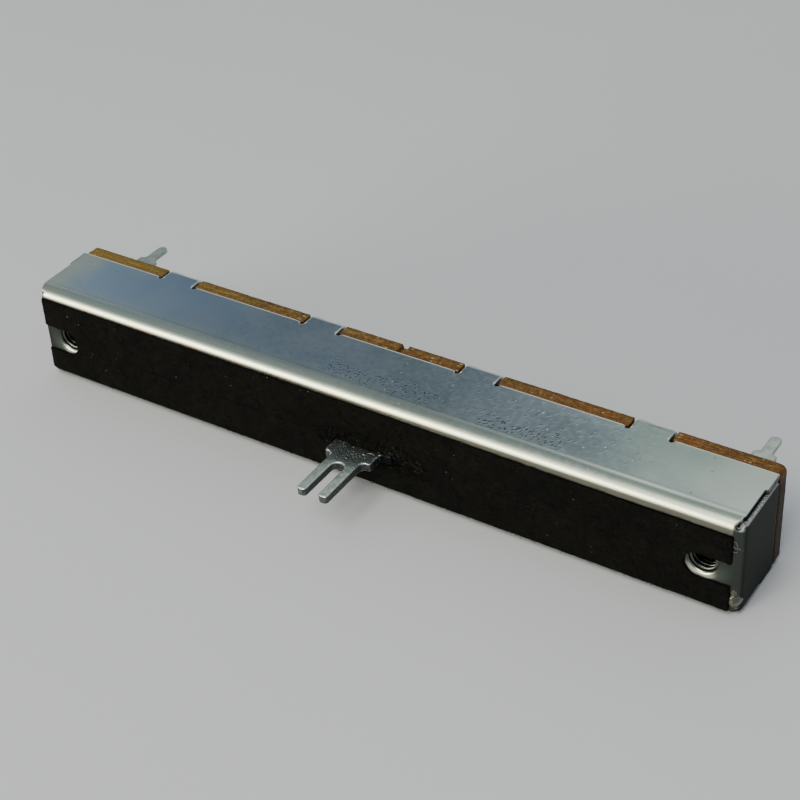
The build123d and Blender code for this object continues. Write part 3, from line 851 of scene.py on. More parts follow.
class PotCaseSettings(bpy.types.PropertyGroup):
    sheet: size("Sheet", "Thickness of the steel sheet", 0.6)
    long_radius: size("Long fold radius", "Outer radius of the folds along the case", 1.3)
    fold_radius: size("Fold radius", "Outer radius of the folds of the flaps and tabs", 1.0)
    roll: size("Rolled edge", "Radius of the edge on the side that the punch entered", 0.09)
    wall_gap: size("Wall gap", "End of a side wall, back from the end of the case", 0.4)
    wall_gap_back: size("Back wall gap", "The same, behind the step in the wall's end", 0.13)
    left_gap: size("Left wall gap", "End of a side wall, back from the case's left end", 0.16)
    left_gap_back: size("Left back wall gap", "The same, behind the step", 0.0)
    left_relief: size("Left corner relief", "Radius of the relief at the left end", 0.28)
    left_fold_reach: size("Left fold reach", "How far a long fold runs past a flap's fold", 0.15)
    wall_step: size("Step", "Depth of the step in a wall's end", 5.7)
    flap_back_gap: size("Flap gap", "Back edge of an end flap to the board", 0.4)
    flap_side_gap: size("Flap side gap", "Side edge of an end flap to the inside of a wall", 0.05)
    corner_relief: size("Corner relief", "Radius of the relief where three folds meet", 0.45)
    fold_spare: size("Fold spare", "Flat web between a long fold's end and a flap's fold", 0.05)
    tab_width: size("Tab width", "Width of a crimp tab", 4.3)
    tab_reach: size("Tab reach", "How far a tab lies over the board", 1.8)
    tab_dip: size("Tab dip", "How far the crimping tool pressed a tab's fold in", 0.24)
    tab_pitch: size("Tab pitch", "Distance between tabs", 20.0)
    relief_width: size("Relief width", "Width of the notch beside a tab", 0.55)
    relief_depth: size("Relief depth", "Depth of the notch beside a tab", 0.45)
    slot_height: size("Slot height", "Height of the slot that the lever runs in", 2.2)
    slot_spare: size("Slot spare", "Room at each end of the slot", 0.6)
    collar_mouth: size("Collar mouth", "Radius at which the web turns into a collar", 1.8)
    collar_radius: size("Collar radius", "Outer radius of a drawn collar", 2.0)
    collar_depth: size("Collar depth", "Panel face to the end of a collar", 2.2)
    thread_root: size("Thread root", "Radius at the bottom of the thread", 1.5)
    thread_crest: size("Thread crest", "Radius at the crest of the thread", 1.25)
    thread_pitch: size("Thread pitch", "Distance between turns of the thread", 0.5)
    scuff_x: bpy.props.FloatProperty(
        name="Scuffs",
        description="Middle of the scuffed patch, in millimetres along X",
        default=18.0,
    )
    plate_colour: colour("Plating", "Colour of the plating", (0.53, 0.575, 0.52))
    # This tint and the next are painted reflection on the top.
    stain_blue: colour("Blue stain", "Colour left of the middle", (0.375, 0.475, 0.59))
    stain_grey: colour("Grey stain", "Colour in the middle", (0.35, 0.405, 0.445))
    # Painted highlight colour of the upper fold and of the collars' mouths.
    fold_colour: colour("Folds", "Colour of the rubbed folds", (0.93, 0.945, 0.73))
    # Painted dark reflection on the front, the lower fold and the ends.
    plate_dull: colour("Dull plating", "Colour of the front and of the ends", (0.048, 0.055, 0.050))
    cut_colour: colour("Sheared side", "Colour of the sheet's cut side", (0.80, 0.81, 0.77))
    # Pale burr colour, which also carries painted highlights on the edges and the tabs' crests.
    burr_colour: colour("Burr", "Colour of the thin burr beside a cut", (0.76, 0.76, 0.66))


class PotFeltSettings(bpy.types.PropertyGroup):
    skew: bpy.props.FloatProperty(
        name="Skew",
        description="How far the felt lies out of line",
        default=0.00349,
        unit="ROTATION",
    )
    reach_left: size("Left reach", "Middle of the case to the felt's left end", 43.5)
    reach_right: size("Right reach", "Middle of the case to the felt's right end", 43.0)
    top_inset: size("Upper inset", "How far the upper edge stops short of its line", 0.21)
    top_taper: size("Upper taper", "How much further it stops short on the right", 0.29)
    edge_round: size("Edge", "Softness of the cut edge", 0.14)
    slit: size("Slit", "Gap between the lips of the slit", 0.02)
    notch_high: size("Notch top", "Upper edge of the right notch, above the middle", 0.80)
    notch_low: size("Notch bottom", "Lower edge of both notches, below the middle", 2.15)
    notch_high_left: size("Left notch top", "Upper edge of the left notch", 1.10)
    notch_depth: size("Notch end", "Screw hole's middle to the notch's closed end", 1.9)
    notch_short: size("Left notch", "How much nearer to the hole the left notch ends", 0.85)
    lip_height: size("Lip height", "How far the lips stand out round the lever", 0.55)
    lip_left: size("Left lip", "Reach of the lips to the left of the lever's middle", 5.6)
    lip_right: size("Right lip", "Reach of the lips to the right of the lever's middle", 8.0)
    lip_reach: size("Lip reach", "Reach of the lips above and below the lever", 1.75)
    gape: size("Gape", "How far the lips gape to the right of the lever", 1.5)
    gape_left: size("Left gape", "How far the lips gape to the left of the lever", 0.35)
    fibre_length: size("Fibre length", "Length of a loose felt fibre", 0.75)
    fibres: count("Fibres", "Number of loose fibres", 3000)
    specks: count("Specks", "Number of specks of lint", 22)
    felt_dark: colour("Dark felt", "Darkest colour of the felt", (0.0029, 0.0028, 0.0026))
    felt_brown: colour("Brown felt", "Brown colour of the felt", (0.0044, 0.0042, 0.0034))
    felt_fibre: colour("Fibres", "Colour of single fibres", (0.018, 0.017, 0.0138))
    felt_rubbed: colour("Rubbed felt", "Colour of the felt's rubbed fibres", (0.048, 0.047, 0.040))
    lint_pale: colour("Pale lint", "Colour of pale lint", (0.30, 0.30, 0.28))
    lint_grey: colour("Grey lint", "Colour of grey lint", (0.14, 0.14, 0.125))


class PotLeverSettings(bpy.types.PropertyGroup):
    roll: size("Rolled edge", "Radius of the edge that the punch rolled over", 0.12)
    burr: size("Burr edge", "Radius of the opposite edge", 0.09)
    fork_width: size("Fork width", "Width over both prongs", 3.76)
    fork_gap: size("Fork gap", "Gap between the prongs", 1.56)
    shoulder: size("Shoulder", "Panel face to the shoulders", 2.9)
    fork_root: size("Fork root", "Panel face to the closed end of the gap", 4.0)
    shoulder_round: size("Shoulder radius", "Radius of a shoulder", 0.3)
    throat_round: size("Throat radius", "Radius between a shoulder and a prong", 0.55)
    prong_round: size("Prong radius", "Radius of the prong tips", 0.42)
    notch_depth: size("Root notch", "Depth of the notch that the carrier grips", 0.5)
    notch_start: size("Notch start", "Panel face to the notch", 2.5)
    notch_end: size("Notch end", "Panel face to the far side of the notch", 3.5)
    arm_reach: size("Arm reach", "How far the arm at the felt reaches out of the right side", 1.3)
    arm_height: size("Arm height", "Panel face to the arm's front edge", 0.88)
    arm_foot: size("Arm foot", "Panel face to the arm's back edge", 0.56)
    lever_bright: colour("Bright steel", "Colour of the rubbed plating", (0.86, 0.93, 0.81))
    lever_grey: colour("Grey steel", "Colour of the dull plating", (0.55, 0.62, 0.545))
    # Painted dark reflection of the cut sides.
    cut_dark: colour("Cut side", "Dark colour of the torn cut side", (0.022, 0.024, 0.024))
    cut_grey: colour("Cut side marks", "Light colour of the torn cut side", (0.12, 0.13, 0.127))


class PotBoardSettings(bpy.types.PropertyGroup):
    corner: size("Corner", "Radius of the board's corners", 0.8)
    edge: size("Edge", "Radius of the worn edge", 0.10)
    ragged: size("Raggedness", "Unevenness of the sawn edge", 0.035)
    notch_width: size("Notch width", "Width of the notch for a tab", 4.9)
    notch_depth: size("Notch depth", "Depth of the notch for a tab", 1.02)
    centre_notch_x: size("Centre notch", "Place of the small notch along X", 0.2)
    centre_notch_top: size("Centre notch top", "Width of its open side", 0.94)
    centre_notch_foot: size("Centre notch foot", "Width of its closed side", 0.57)
    centre_notch_depth: size("Centre notch depth", "Its depth", 0.5)
    hole_radius: size("Rivet hole", "Radius of the holes for the eyelets", 0.72)
    board_dark: colour("Dark layers", "Dark colour of the laminate", (0.066, 0.036, 0.008))
    board_light: colour("Light layers", "Light colour of the laminate", (0.148, 0.088, 0.0165))
    board_fibre: colour("Fibres", "Colour of torn paper fibres", (0.40, 0.25, 0.062))
    board_orange: colour("Orange tint", "Colour of stretches of edge", (0.225, 0.078, 0.012))
    board_face: colour("Face", "Colour of the smooth face", (0.19, 0.090, 0.020))


class PotPinSettings(bpy.types.PropertyGroup):
    thickness: size("Thickness", "Thickness of a terminal", 0.4)
    fold_radius: size("Fold radius", "Outer radius of the fold at the board", 0.6)
    roll: size("Rolled edge", "Radius of the stamped edge", 0.07)
    width: size("Pin width", "Width of the pin", 1.25)
    shoulder: size("Shoulder", "Board to the shoulders", 2.0)
    hole_radius: size("Rivet hole", "Radius of the hole in the foot", 0.72)
    wall: size("Eyelet wall", "Thickness of an eyelet's wall", 0.22)
    flange: size("Eyelet flange", "Radius of an eyelet's rolled rim", 1.1)
    tin: colour("Tin", "Colour of the tinning", (0.60, 0.645, 0.57))
    tin_stain: colour("Dull tin", "Colour of dull tinning", (0.46, 0.50, 0.44))
    brass: colour("Brass", "Colour of an eyelet", (0.70, 0.55, 0.27))


class PotGlueSettings(bpy.types.PropertyGroup):
    blob_x: size("Place", "Middle of the blob along X", 43.42)
    blob_z: size("Height", "Middle of the blob along Z", -3.75)
    blob_width: size("Width", "Half width of the blob", 0.55)
    blob_height: size("Length", "Half height of the blob", 0.95)
    blob_depth: size("Depth", "How far the blob stands out", 0.30)
    thread_width: size("Whisker", "Thickness of a glue whisker", 0.036)
    glue_colour: colour("Glue", "Colour of the dried glue", (0.075, 0.080, 0.040))


class PotStageSettings(bpy.types.PropertyGroup):
    focal: bpy.props.FloatProperty(
        name="Lens", description="Focal length on a 36 mm sensor, in millimetres", default=81.286
    )
    azimuth: bpy.props.FloatProperty(
        name="Azimuth", description="Direction of the camera, in degrees", default=34.503
    )
    elevation: bpy.props.FloatProperty(
        name="Elevation", description="Height of the camera, in degrees", default=36.089
    )
    roll: bpy.props.FloatProperty(
        name="Roll", description="Turn of the camera about its axis, in degrees", default=-3.6
    )
    place: bpy.props.FloatVectorProperty(
        name="Place",
        description="Place of the camera",
        default=(0.090666, -0.123293, 0.116278),
        subtype="TRANSLATION",
    )
    floor_colour: colour("Floor", "Colour of the floor", (0.74, 0.74, 0.73))
    sky: colour("Surroundings", "Colour of the soft surroundings", (0.17, 0.215, 0.27))


# ------------------------------------------------------------------ geometry node trees
def node_group(name, inputs):
    """A new Geometry Nodes tree with named inputs, as (wiring, input signals)."""
    tree = bpy.data.node_groups.new(name, "GeometryNodeTree")
    tree.interface.new_socket("Geometry", in_out="INPUT", socket_type="NodeSocketGeometry")
    tree.interface.new_socket("Geometry", in_out="OUTPUT", socket_type="NodeSocketGeometry")
    for label, kind in inputs:
        tree.interface.new_socket(label, in_out="INPUT", socket_type=kind)
    wiring = Wiring(tree)
    source = tree.nodes.new("NodeGroupInput")
    return wiring, {s.name: Signal(wiring, s) for s in source.outputs if s.name}


def ends_in(wiring, geometry, material):
    """Ends a tree in Realize Instances and Set Material."""
    real = wiring.add("GeometryNodeRealizeInstances", sockets={"Geometry": geometry})
    painted = wiring.add(
        "GeometryNodeSetMaterial", sockets={"Geometry": real, "Material": material}
    )
    wiring.add("NodeGroupOutput", sockets={"Geometry": painted})


def circle(wiring, resolution, radius):
    """A circle as a curve."""
    sockets = {"Resolution": resolution, "Radius": radius}
    return wiring.add("GeometryNodeCurvePrimitiveCircle", {"mode": "RADIUS"}, sockets)


def swept(wiring, curve, profile, caps=False):
    """A mesh swept along a curve."""
    sockets = {"Curve": curve, "Profile Curve": profile, "Fill Caps": caps}
    return wiring.add("GeometryNodeCurveToMesh", sockets=sockets)


def transformed(wiring, geometry, key, value):
    """Geometry with a Translation, a Rotation or a Scale."""
    sockets = {"Geometry": geometry, key: value}
    return wiring.add("GeometryNodeTransform", sockets=sockets)


def instanced(wiring, points, instance, **sockets):
    """A copy of the instance on every point."""
    sockets = {"Points": points, "Instance": instance, **sockets}
    return wiring.add("GeometryNodeInstanceOnPoints", sockets=sockets)


def grown(name, points, faces, wiring, values, material, body, crease=50):
    """Runs a tree on a mesh in millimetres and keeps the result as a plain piece."""
    mesh = bpy.data.meshes.new(name)
    mesh.from_pydata([Vector(p) * MM for p in points], [], faces)
    seed = bpy.data.objects.new(name + "_seed", mesh)
    modifier = seed.modifiers.new("grow", "NODES")
    modifier.node_group = wiring.tree
    for item in wiring.tree.interface.items_tree:
        if item.in_out == "INPUT" and item.name in values:
            modifier[item.identifier] = values[item.name]
    made = plain_mesh(seed)
    if not made.polygons:
        raise RuntimeError(f"{name}: the tree made no faces")
    made.name = name
    made.shade_smooth()
    made.set_sharp_from_angle(angle=math.radians(crease))
    return placed(name, made, material, body)


# ------------------------------------------------------------------ the case
class POT_OT_case(bpy.types.Operator):
    """Folds the case from a flat blank, with its crimp tabs, end flaps, slot and collars"""

    bl_idname = "pot.case"
    bl_label = "Folded case"

    def execute(self, context):
        settings = context.scene.pot_case
        s = sizes(settings)
        half_length, half_height = CASE[1].x, CASE[1].z
        bend = s.fold_radius * QUARTER
        web = half_height - s.long_radius
        fold = web + s.long_radius * QUARTER
        step = fold + s.wall_step - s.long_radius
        wall = fold + BOARD[0].y - s.long_radius
        tab_run = CASE[1].y - s.long_radius - s.fold_radius
        tab_end = fold + tab_run + bend + s.tab_reach - s.fold_radius
        flap_fold = half_length - s.fold_radius
        flap_side = half_height - s.sheet - s.flap_side_gap
        flap_end = flap_fold + bend + BOARD[0].y - s.flap_back_gap - s.fold_radius
        tabs = [s.tab_pitch * k for k in TAB_STEPS]

        def tab_wave(x):
            """How the crimping tool bent a tab's fold: dented, and further in on the right."""
            share = min((x - tab for tab in tabs), key=abs) / s.tab_width
            dip = math.exp(-(((share + 0.06) / 0.17) ** 2))
            step_in = 0.45 / (1 + math.exp(-(share - 0.02) * 26))
            corner = max(0.0, abs(share) - 0.36) * 1.6
            return -s.tab_dip * (0.55 * dip + step_in + corner)

        flap_path = folded([flap_fold, 0], s.fold_radius)

        def place(x, y, depth):
            """Folds a point of the blank over an end flap's fold, or over a wall's and a tab's."""
            depth += UNTRUE * (1 + noise.noise((x * 0.16, y * 0.22, 3.1)))
            if abs(x) > flap_fold and abs(y) < flap_side + 0.06:
                ahead, inwards = flap_path(abs(x), depth)
                lean = max(0.0, abs(y) - web) / s.long_radius
                pull = max(0.0, 1 - (abs(x) - flap_fold) / 0.6)
                inwards += (s.long_radius - depth) * (1 - math.cos(lean)) * pull
                return (math.copysign(ahead, x), inwards, y)
            path = folded([web, tab_run + tab_wave(x), 0], s.long_radius, s.fold_radius)
            ahead, inwards = path(abs(y), depth)
            return (x, inwards, math.copysign(ahead, y))

        def half_wall(gap, back, fold_end, radius):
            """A quarter of the outline, whose wall ends this far back from the case's end."""
            relief = (fold_end + radius, half_height - s.sheet)
            opening = math.degrees(math.asin((flap_side - relief[1]) / radius))
            corner = [(flap_end, flap_side, 0.35)]
            corner += sharp(arc(relief, radius, opening, -180, 12))
            if radius < s.corner_relief:
                corner.append((half_length - gap - 0.2, relief[1] + 0.22, 0.1))
            corner.append((half_length - gap, fold, 0.2))
            corner += [(half_length - gap, step, 0.1), (half_length - back, step + 0.2, 0.1)]
            corner.append((half_length - back, wall, 0.12))
            return corner + tabs_outline

        half_tab, half_relief = s.tab_width / 2, s.relief_width / 2
        notch = half_tab + half_relief
        bottom = wall - s.relief_depth + half_relief
        tabs_outline = []
        for tab in reversed(tabs[2:]):
            tabs_outline.append((tab + half_tab + s.relief_width, wall, 0.05))
            tabs_outline += sharp(arc((tab + notch, bottom), half_relief, 0, -180, 8))
            tabs_outline += [(tab + half_tab, tab_end, 0.5), (tab - half_tab, tab_end, 0.5)]
            tabs_outline += sharp(arc((tab - notch, bottom), half_relief, 0, -180, 8))
            tabs_outline.append((tab - half_tab - s.relief_width, wall, 0.05))
        upper = half_wall(s.wall_gap, s.wall_gap_back, flap_fold - s.fold_spare, s.corner_relief)
        left = half_wall(s.left_gap, s.left_gap_back, flap_fold + s.left_fold_reach, s.left_relief)
        upper += mirrored(left)
        outline = spaced(rounded(upper + mirrored(upper, 1, -1)), 0.4)
        outline = uneven(outline, (UNTRUE, 2, 0.3, 7.7))
        slot_end = (TRAVEL[1] - TRAVEL[0]) / 2 + HALF_BLADE + s.slot_spare
        run = slot_end - s.slot_height / 2
        slot = arc((run, LEVER_Z), s.slot_height / 2, -90, 90, 12)
        slot += arc((-run, LEVER_Z), s.slot_height / 2, 90, 270, 12)
        loops = [(outline, True), (spaced(slot, 0.5), True)]
        for hole in (-HOLE_X, HOLE_X):
            loops.append((arc((hole, 0), s.collar_mouth, 0, 360, 64)[:-1], False))

        columns = list(np.arange(-42.4, 42.5, 0.8))
        rows = list(np.linspace(0, web, 8)[:-1]) + list(np.linspace(web, fold, 13))
        rows += list(np.linspace(fold, wall - 0.5, 10)[1:])
        inner = grid(columns, sorted({-y for y in rows} | set(rows)))
        outer_rows = [y for y in rows if y > flap_side + 0.2]
        inner += grid([-43.6, -43.2, 43.2], outer_rows + [-y for y in outer_rows])
        flap_columns = list(np.linspace(flap_fold, flap_fold + bend, 10))
        flap_columns += list(np.linspace(flap_fold + bend, flap_end, 10)[1:])
        flap_rows = np.linspace(-flap_side, flap_side, 15)
        inner += grid(flap_columns + [-x for x in flap_columns], flap_rows)
        tab_rows = np.concatenate(
            [
                np.linspace(wall, fold + tab_run - 0.3, 4),
                np.linspace(fold + tab_run - 0.2, fold + tab_run + bend + 0.1, 12),
                np.linspace(fold + tab_run + bend + 0.3, tab_end, 3),
            ]
        )
        for tab in tabs:
            tab_columns = np.linspace(tab - half_tab, tab + half_tab, 16)
            inner += grid(tab_columns, list(tab_rows) + list(-tab_rows))
        shell = Shell()
        shell.add_blank(loops, inner, place, s.sheet, s.roll, 0.04, rough=0.02)

        bore = s.collar_mouth - s.thread_root
        profile = arc((s.collar_mouth, bore), bore, 270, 180, 5)
        profile += [
            (s.thread_root, s.collar_depth),
            (s.collar_radius - 0.1, s.collar_depth),
            (s.collar_radius, s.collar_depth - 0.1),
            (s.collar_radius, s.sheet - 0.05),
            (s.collar_mouth, s.sheet - 0.05),
        ]
        for hole in (-HOLE_X, HOLE_X):
            shell.add_turned(profile, lambda x, y, d, hole=hole: (hole + x, d + UNTRUE, y), 64)
        piece = shell.piece("folded_case", plated_steel(settings), "housing", "plated_steel")
        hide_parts("case")
        return {"FINISHED"}


class POT_OT_threads(bpy.types.Operator):
    """Cuts the screw threads in both collars"""

    bl_idname = "pot.threads"
    bl_label = "Screw threads"

    def execute(self, context):
        s = sizes(context.scene.pot_case)
        # Dark colours, and near black for the deeper turns: painted shade inside the hole.
        material = drawn("thread_steel", (0.13, 0.13, 0.115), (0.06, 0.06, 0.054), 0.22, 0.95)
        inputs = [(k, "NodeSocketFloat") for k in ("Pitch", "Turns", "Root", "Depth")]
        wiring, given = node_group("screw_thread", inputs)
        helix = {
            "Resolution": 40,
            "Rotations": given["Turns"],
            "Start Radius": given["Root"],
            "End Radius": given["Root"],
            "Height": given["Pitch"] * given["Turns"],
        }
        helix = wiring.add("GeometryNodeCurveSpiral", sockets=helix)
        helix = wiring.add("GeometryNodeSetCurveNormal", {"mode": "Z_UP"}, {"Curve": helix})
        share = wiring.add("GeometryNodeSplineParameter")
        fade = share.step(0.0, 0.10) * share.fall(0.93, 1.0)
        helix = wiring.add("GeometryNodeSetCurveRadius", sockets={"Curve": helix, "Radius": fade})
        ridge = {"X": given["Depth"], "Y": given["Pitch"] * 0.30, "Z": 1.0}
        ridge = wiring.add("ShaderNodeCombineXYZ", sockets=ridge)
        ridge = transformed(wiring, circle(wiring, 10, 1.0), "Scale", ridge)
        thread = swept(wiring, helix, ridge, True)
        thread = transformed(wiring, thread, "Rotation", (-QUARTER, 0, 0))
        ends_in(wiring, instanced(wiring, given["Geometry"], thread), material)
        start = 0.22  # panel face to the start of the thread
        values = {
            "Pitch": s.thread_pitch * MM,
            "Turns": (s.collar_depth - start - 0.1) / s.thread_pitch,
            "Root": s.thread_root * MM,
            "Depth": (s.thread_root - s.thread_crest) * MM,
        }
        points = [(-HOLE_X, start, 0), (HOLE_X, start, 0)]
        grown("screw_threads", points, [], wiring, values, material, "housing", 60)
        return {"FINISHED"}


# ------------------------------------------------------------------ the felt
def slit_line(x):
    """Height of the slit between the felt's lips."""
    return LEVER_Z + 0.12 + 0.06 * noise.noise((x * 0.5, 0, 9))


def felt_front(x, z):
    """How far the felt's front dips below its full thickness, from lumps and the slit."""
    lump = 0.022 * noise.noise((x * 0.9, z * 0.9, 0)) + 0.016 * noise.noise((x * 2.6, z * 2.6, 4))
    off_slit = abs(z - slit_line(x))
    within = TRAVEL[1] + 4.5 - abs(x - LEVER_X)
    crease = 0.06 * math.exp(-((off_slit / 0.25) ** 2))
    return 0.05 + lump + crease * min(1.0, max(0.0, within))


class POT_OT_felt(bpy.types.Operator):
    """Cuts the felt dust cover, with its slit and the notches that free the screw holes"""

    bl_idname = "pot.felt"
    bl_label = "Felt dust cover"

    def execute(self, context):
        settings = context.scene.pot_felt
        s = sizes(settings)
        thickness = COVER[1].y - COVER[0].y
        lean = math.tan(settings.skew)
        middle = (COVER[0].z + COVER[1].z) / 2
        reach = (COVER[1].z - COVER[0].z) / 2 - lean * COVER[1].x
        fold_radius = context.scene.pot_case.fold_radius / MM

        def edge(x, side):
            """The lower or the upper edge of the strip, a little askew."""
            short = s.top_inset + s.top_taper * min(1.0, max(0.0, x / 30)) if side > 0 else 0.0
            return middle + side * reach - lean * x - short

        def notch(high, end, start_angle):
            """The round closed end of a notch, between its low edge and a high one."""
            radius = (high + s.notch_low) / 2
            centre = (end + math.copysign(radius, end), (high - s.notch_low) / 2)
            return sharp(arc(centre, radius, start_angle, start_angle - 180, 18))

        right, left = s.reach_right, -s.reach_left
        end = HOLE_X - s.notch_depth
        corners = [(x, edge(x, -1), 0.15) for x in (left, right)]
        corners += [(right, -s.notch_low, 0.1), *notch(s.notch_high, end, 270)]
        corners += [(right, s.notch_high - 0.05, 0.1), (right, edge(right, 1), 0.2)]
        corners += [(x, edge(x, 1), 9.0) for x in (30, 0)]
        corners += [(left, edge(left, 1), 0.2), (left, s.notch_high_left, 0.1)]
        corners += [*notch(s.notch_high_left, -end - s.notch_short, 90), (left, -s.notch_low, 0.1)]
        outline = spaced(rounded(corners), 0.22)
        outline = uneven(outline, (0.05, 1.1, 2, 8), (0.03, 4, 5, 1))
        slit_end = TRAVEL[1] + HALF_BLADE + 0.5
        first, last = -slit_end, slit_end + LEVER_X
        lips = [
            (x, slit_line(x) + side * s.slit / 2)
            for x, side in spaced([(first, -1), (last, -1), (last, 1), (first, 1)], 0.45)
            if abs(side) == 1
        ]

        def place(x, y, depth):
            dip = felt_front(x, y) * (1 - depth / thickness)
            return (x, COVER[0].y + depth + dip + fold_drop(x, fold_radius), y)

        inner = grid(np.arange(left, right, 0.3), np.arange(-5.3, 5.0, 0.3))
        inner = uneven(inner, (0.1, 9, 1, 6))
        shell = Shell()
        loops = [(outline, True), (lips, False)]
        shell.add_blank(loops, inner, place, thickness, s.edge_round, 0.02, rough=0.05)
        piece = shell.piece("felt_cover", felt(settings), "housing", "black_felt", crease=80)
        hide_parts("dust_cover")
        return {"FINISHED"}


class POT_OT_lips(bpy.types.Operator):
    """Raises the lips of the felt round the lever. They travel with it"""

    bl_idname = "pot.lips"
    bl_label = "Felt lips"

    def execute(self, context):
        settings = context.scene.pot_felt
        s = sizes(settings)
        half_thick = (LEVER[1].z - LEVER[0].z) / 2
        rings, around = 13, 120
        points = []
        for ring in range(rings):
            t = ring / (rings - 1)
            for k in range(around):
                angle = 2 * math.pi * k / around
                ca, sa = math.cos(angle), math.sin(angle)
                gape = s.gape if ca > 0 else s.gape_left
                inner_x = (HALF_BLADE + gape) * ca
                past = min(1.0, max(0.0, abs(inner_x) - HALF_BLADE + 0.1) / (gape + 0.1))
                inner_z = math.copysign((half_thick + 0.04) * (1 - past) ** 0.8 + 0.02, sa)
                outer_x = s.lip_right if ca > 0 else s.lip_left
                outer_x *= math.copysign(abs(ca) ** 0.8, ca)
                outer_z = s.lip_reach * math.copysign(abs(sa) ** 0.7, sa)
                ease = t**1.15
                x = inner_x + (outer_x - inner_x) * ease
                z = inner_z + (outer_z - inner_z) * ease
                swell = math.exp(-(((abs(x) - HALF_BLADE * 0.4) / (HALF_BLADE * 1.15)) ** 2))
                swell *= 1.0 if sa > 0 else 0.6
                rise = math.sin(math.pi * (t * 1.1 + 0.28)) if t < 0.2 else (1.25 - 1.25 * t) ** 1.8
                fuzz = 0.05 * noise.noise((x * 1.8, z * 1.8, 2))
                fuzz += 0.03 * noise.noise((x * 5, z * 5, 7))
                height = (0.10 + s.lip_height * swell) * rise + fuzz * (0.3 + rise)
                if ring == 0:
                    height = -0.25  # into the slit
                if ring == rings - 1:
                    height = -0.08  # into the felt
                points.append((LEVER_X + x, COVER[0].y + 0.04 - height, LEVER_Z + 0.05 + z))
        faces = joined_rings(rings, around)
        base, outer = len(points), (rings - 1) * around
        points += [(x, COVER[1].y - 0.02, z) for x, _, z in points[:around] + points[outer:]]
        for k in range(around):
            n = (k + 1) % around
            faces.append((k, n, base + n, base + k))
            faces.append((outer + n, outer + k, base + around + k, base + around + n))
            faces.append((base + k, base + n, base + around + n, base + around + k))
        shell = Shell()
        shell.add(points, faces)
        material = felt(settings, "felt_lips", 0.75)
        shell.piece("felt_lips", material, "slider", "black_felt", crease=80)
        return {"FINISHED"}


def fibre_tree():
    """Scatters bent fibres over a surface."""
    inputs = [(k, "NodeSocketFloat") for k in ("Length", "Width", "Lie")]
    inputs += [(k, "NodeSocketInt") for k in ("Count", "Seed")]
    wiring, given = node_group("felt_fibres", inputs)
    faces = {
        "Geometry": given["Geometry"],
        "Attribute": wiring.add("GeometryNodeInputMeshFaceArea"),
    }
    area = wiring.add("GeometryNodeAttributeStatistic", {"domain": "FACE"}, faces, output="Sum")
    normal = wiring.add("GeometryNodeInputNormal")
    facing = wiring.add("ShaderNodeSeparateXYZ", sockets={0: normal}, output="Y")
    outer = wiring.add("FunctionNodeCompare", {"operation": "LESS_THAN"}, {"A": facing, "B": 0.4})
    area_ratio = 2.2  # the whole surface against the part that looks forwards
    scatter = {
        "Mesh": given["Geometry"],
        "Selection": outer,
        "Density": given["Count"] * area_ratio / area,
        "Seed": given["Seed"],
    }
    points = wiring.add("GeometryNodeDistributePointsOnFaces", sockets=scatter, output="Points")
    rotation = Signal(wiring, points.socket.node.outputs["Rotation"])
    bend = {
        "Resolution": 4,
        "Start": (-0.5, 0, -0.02),
        "Middle": (0.05, 0.22, 0.24),
        "End": (0.5, -0.05, 0.05),
    }
    fibre = wiring.add("GeometryNodeCurveQuadraticBezier", sockets=bend)
    hair = swept(wiring, fibre, circle(wiring, 3, given["Width"]), True)
    turn = wiring.add(
        "FunctionNodeRandomValue",
        {"data_type": "FLOAT_VECTOR"},
        {"Min": (-0.35, -0.35, 0.0), "Max": (0.35, 0.35, 6.28), "Seed": given["Seed"]},
    )
    turn = wiring.add("FunctionNodeEulerToRotation", sockets={0: turn})
    turned = {0: rotation, 1: turn}
    turned = wiring.add("FunctionNodeRotateRotation", {"rotation_space": "LOCAL"}, turned)
    stretch = wiring.add(
        "FunctionNodeRandomValue",
        {"data_type": "FLOAT"},
        {2: 0.4, 3: 1.2, "Seed": given["Seed"] + 5},
        output=1,
    )
    length = stretch * given["Length"]
    scale = {"X": length, "Y": length, "Z": length * given["Lie"]}
    scale = wiring.add("ShaderNodeCombineXYZ", sockets=scale)
    return wiring, instanced(wiring, points, hair, Rotation=turned, Scale=scale)


class POT_OT_fibres(bpy.types.Operator):
    """Scatters loose fibres and specks of lint over the felt"""

    bl_idname = "pot.fibres"
    bl_label = "Fibres and lint"

    def execute(self, context):
        settings = context.scene.pot_felt
        s = sizes(settings)
        black = bpy.data.objects["felt_cover"].data.materials[0]
        pale = lint(settings)
        keys = ("Count", "Length", "Width", "Lie", "Seed")
        rows = [
            ("felt_fibres", black, settings.fibres, s.fibre_length, 0.028, 0.7, 3),
            ("lip_fibres", black, 420, s.fibre_length, 0.028, 1.3, 8),
            ("felt_lint", pale, settings.specks, 0.17, 0.12, 0.6, 21),
            ("lip_lint", pale, 14, 0.14, 0.12, 0.8, 33),
        ]
        for name, material, *numbers in rows:
            on, body = ("felt_lips", "slider") if "lip" in name else ("felt_cover", "housing")
            wiring, copies = fibre_tree()
            ends_in(wiring, copies, material)
            mesh = bpy.data.objects[on].data
            points = [v.co / MM for v in mesh.vertices]
            faces = [tuple(p.vertices) for p in mesh.polygons]
            values = dict(zip(keys, numbers))
            values["Length"] *= MM
            grown(name, points, faces, wiring, values, material, body)
        return {"FINISHED"}


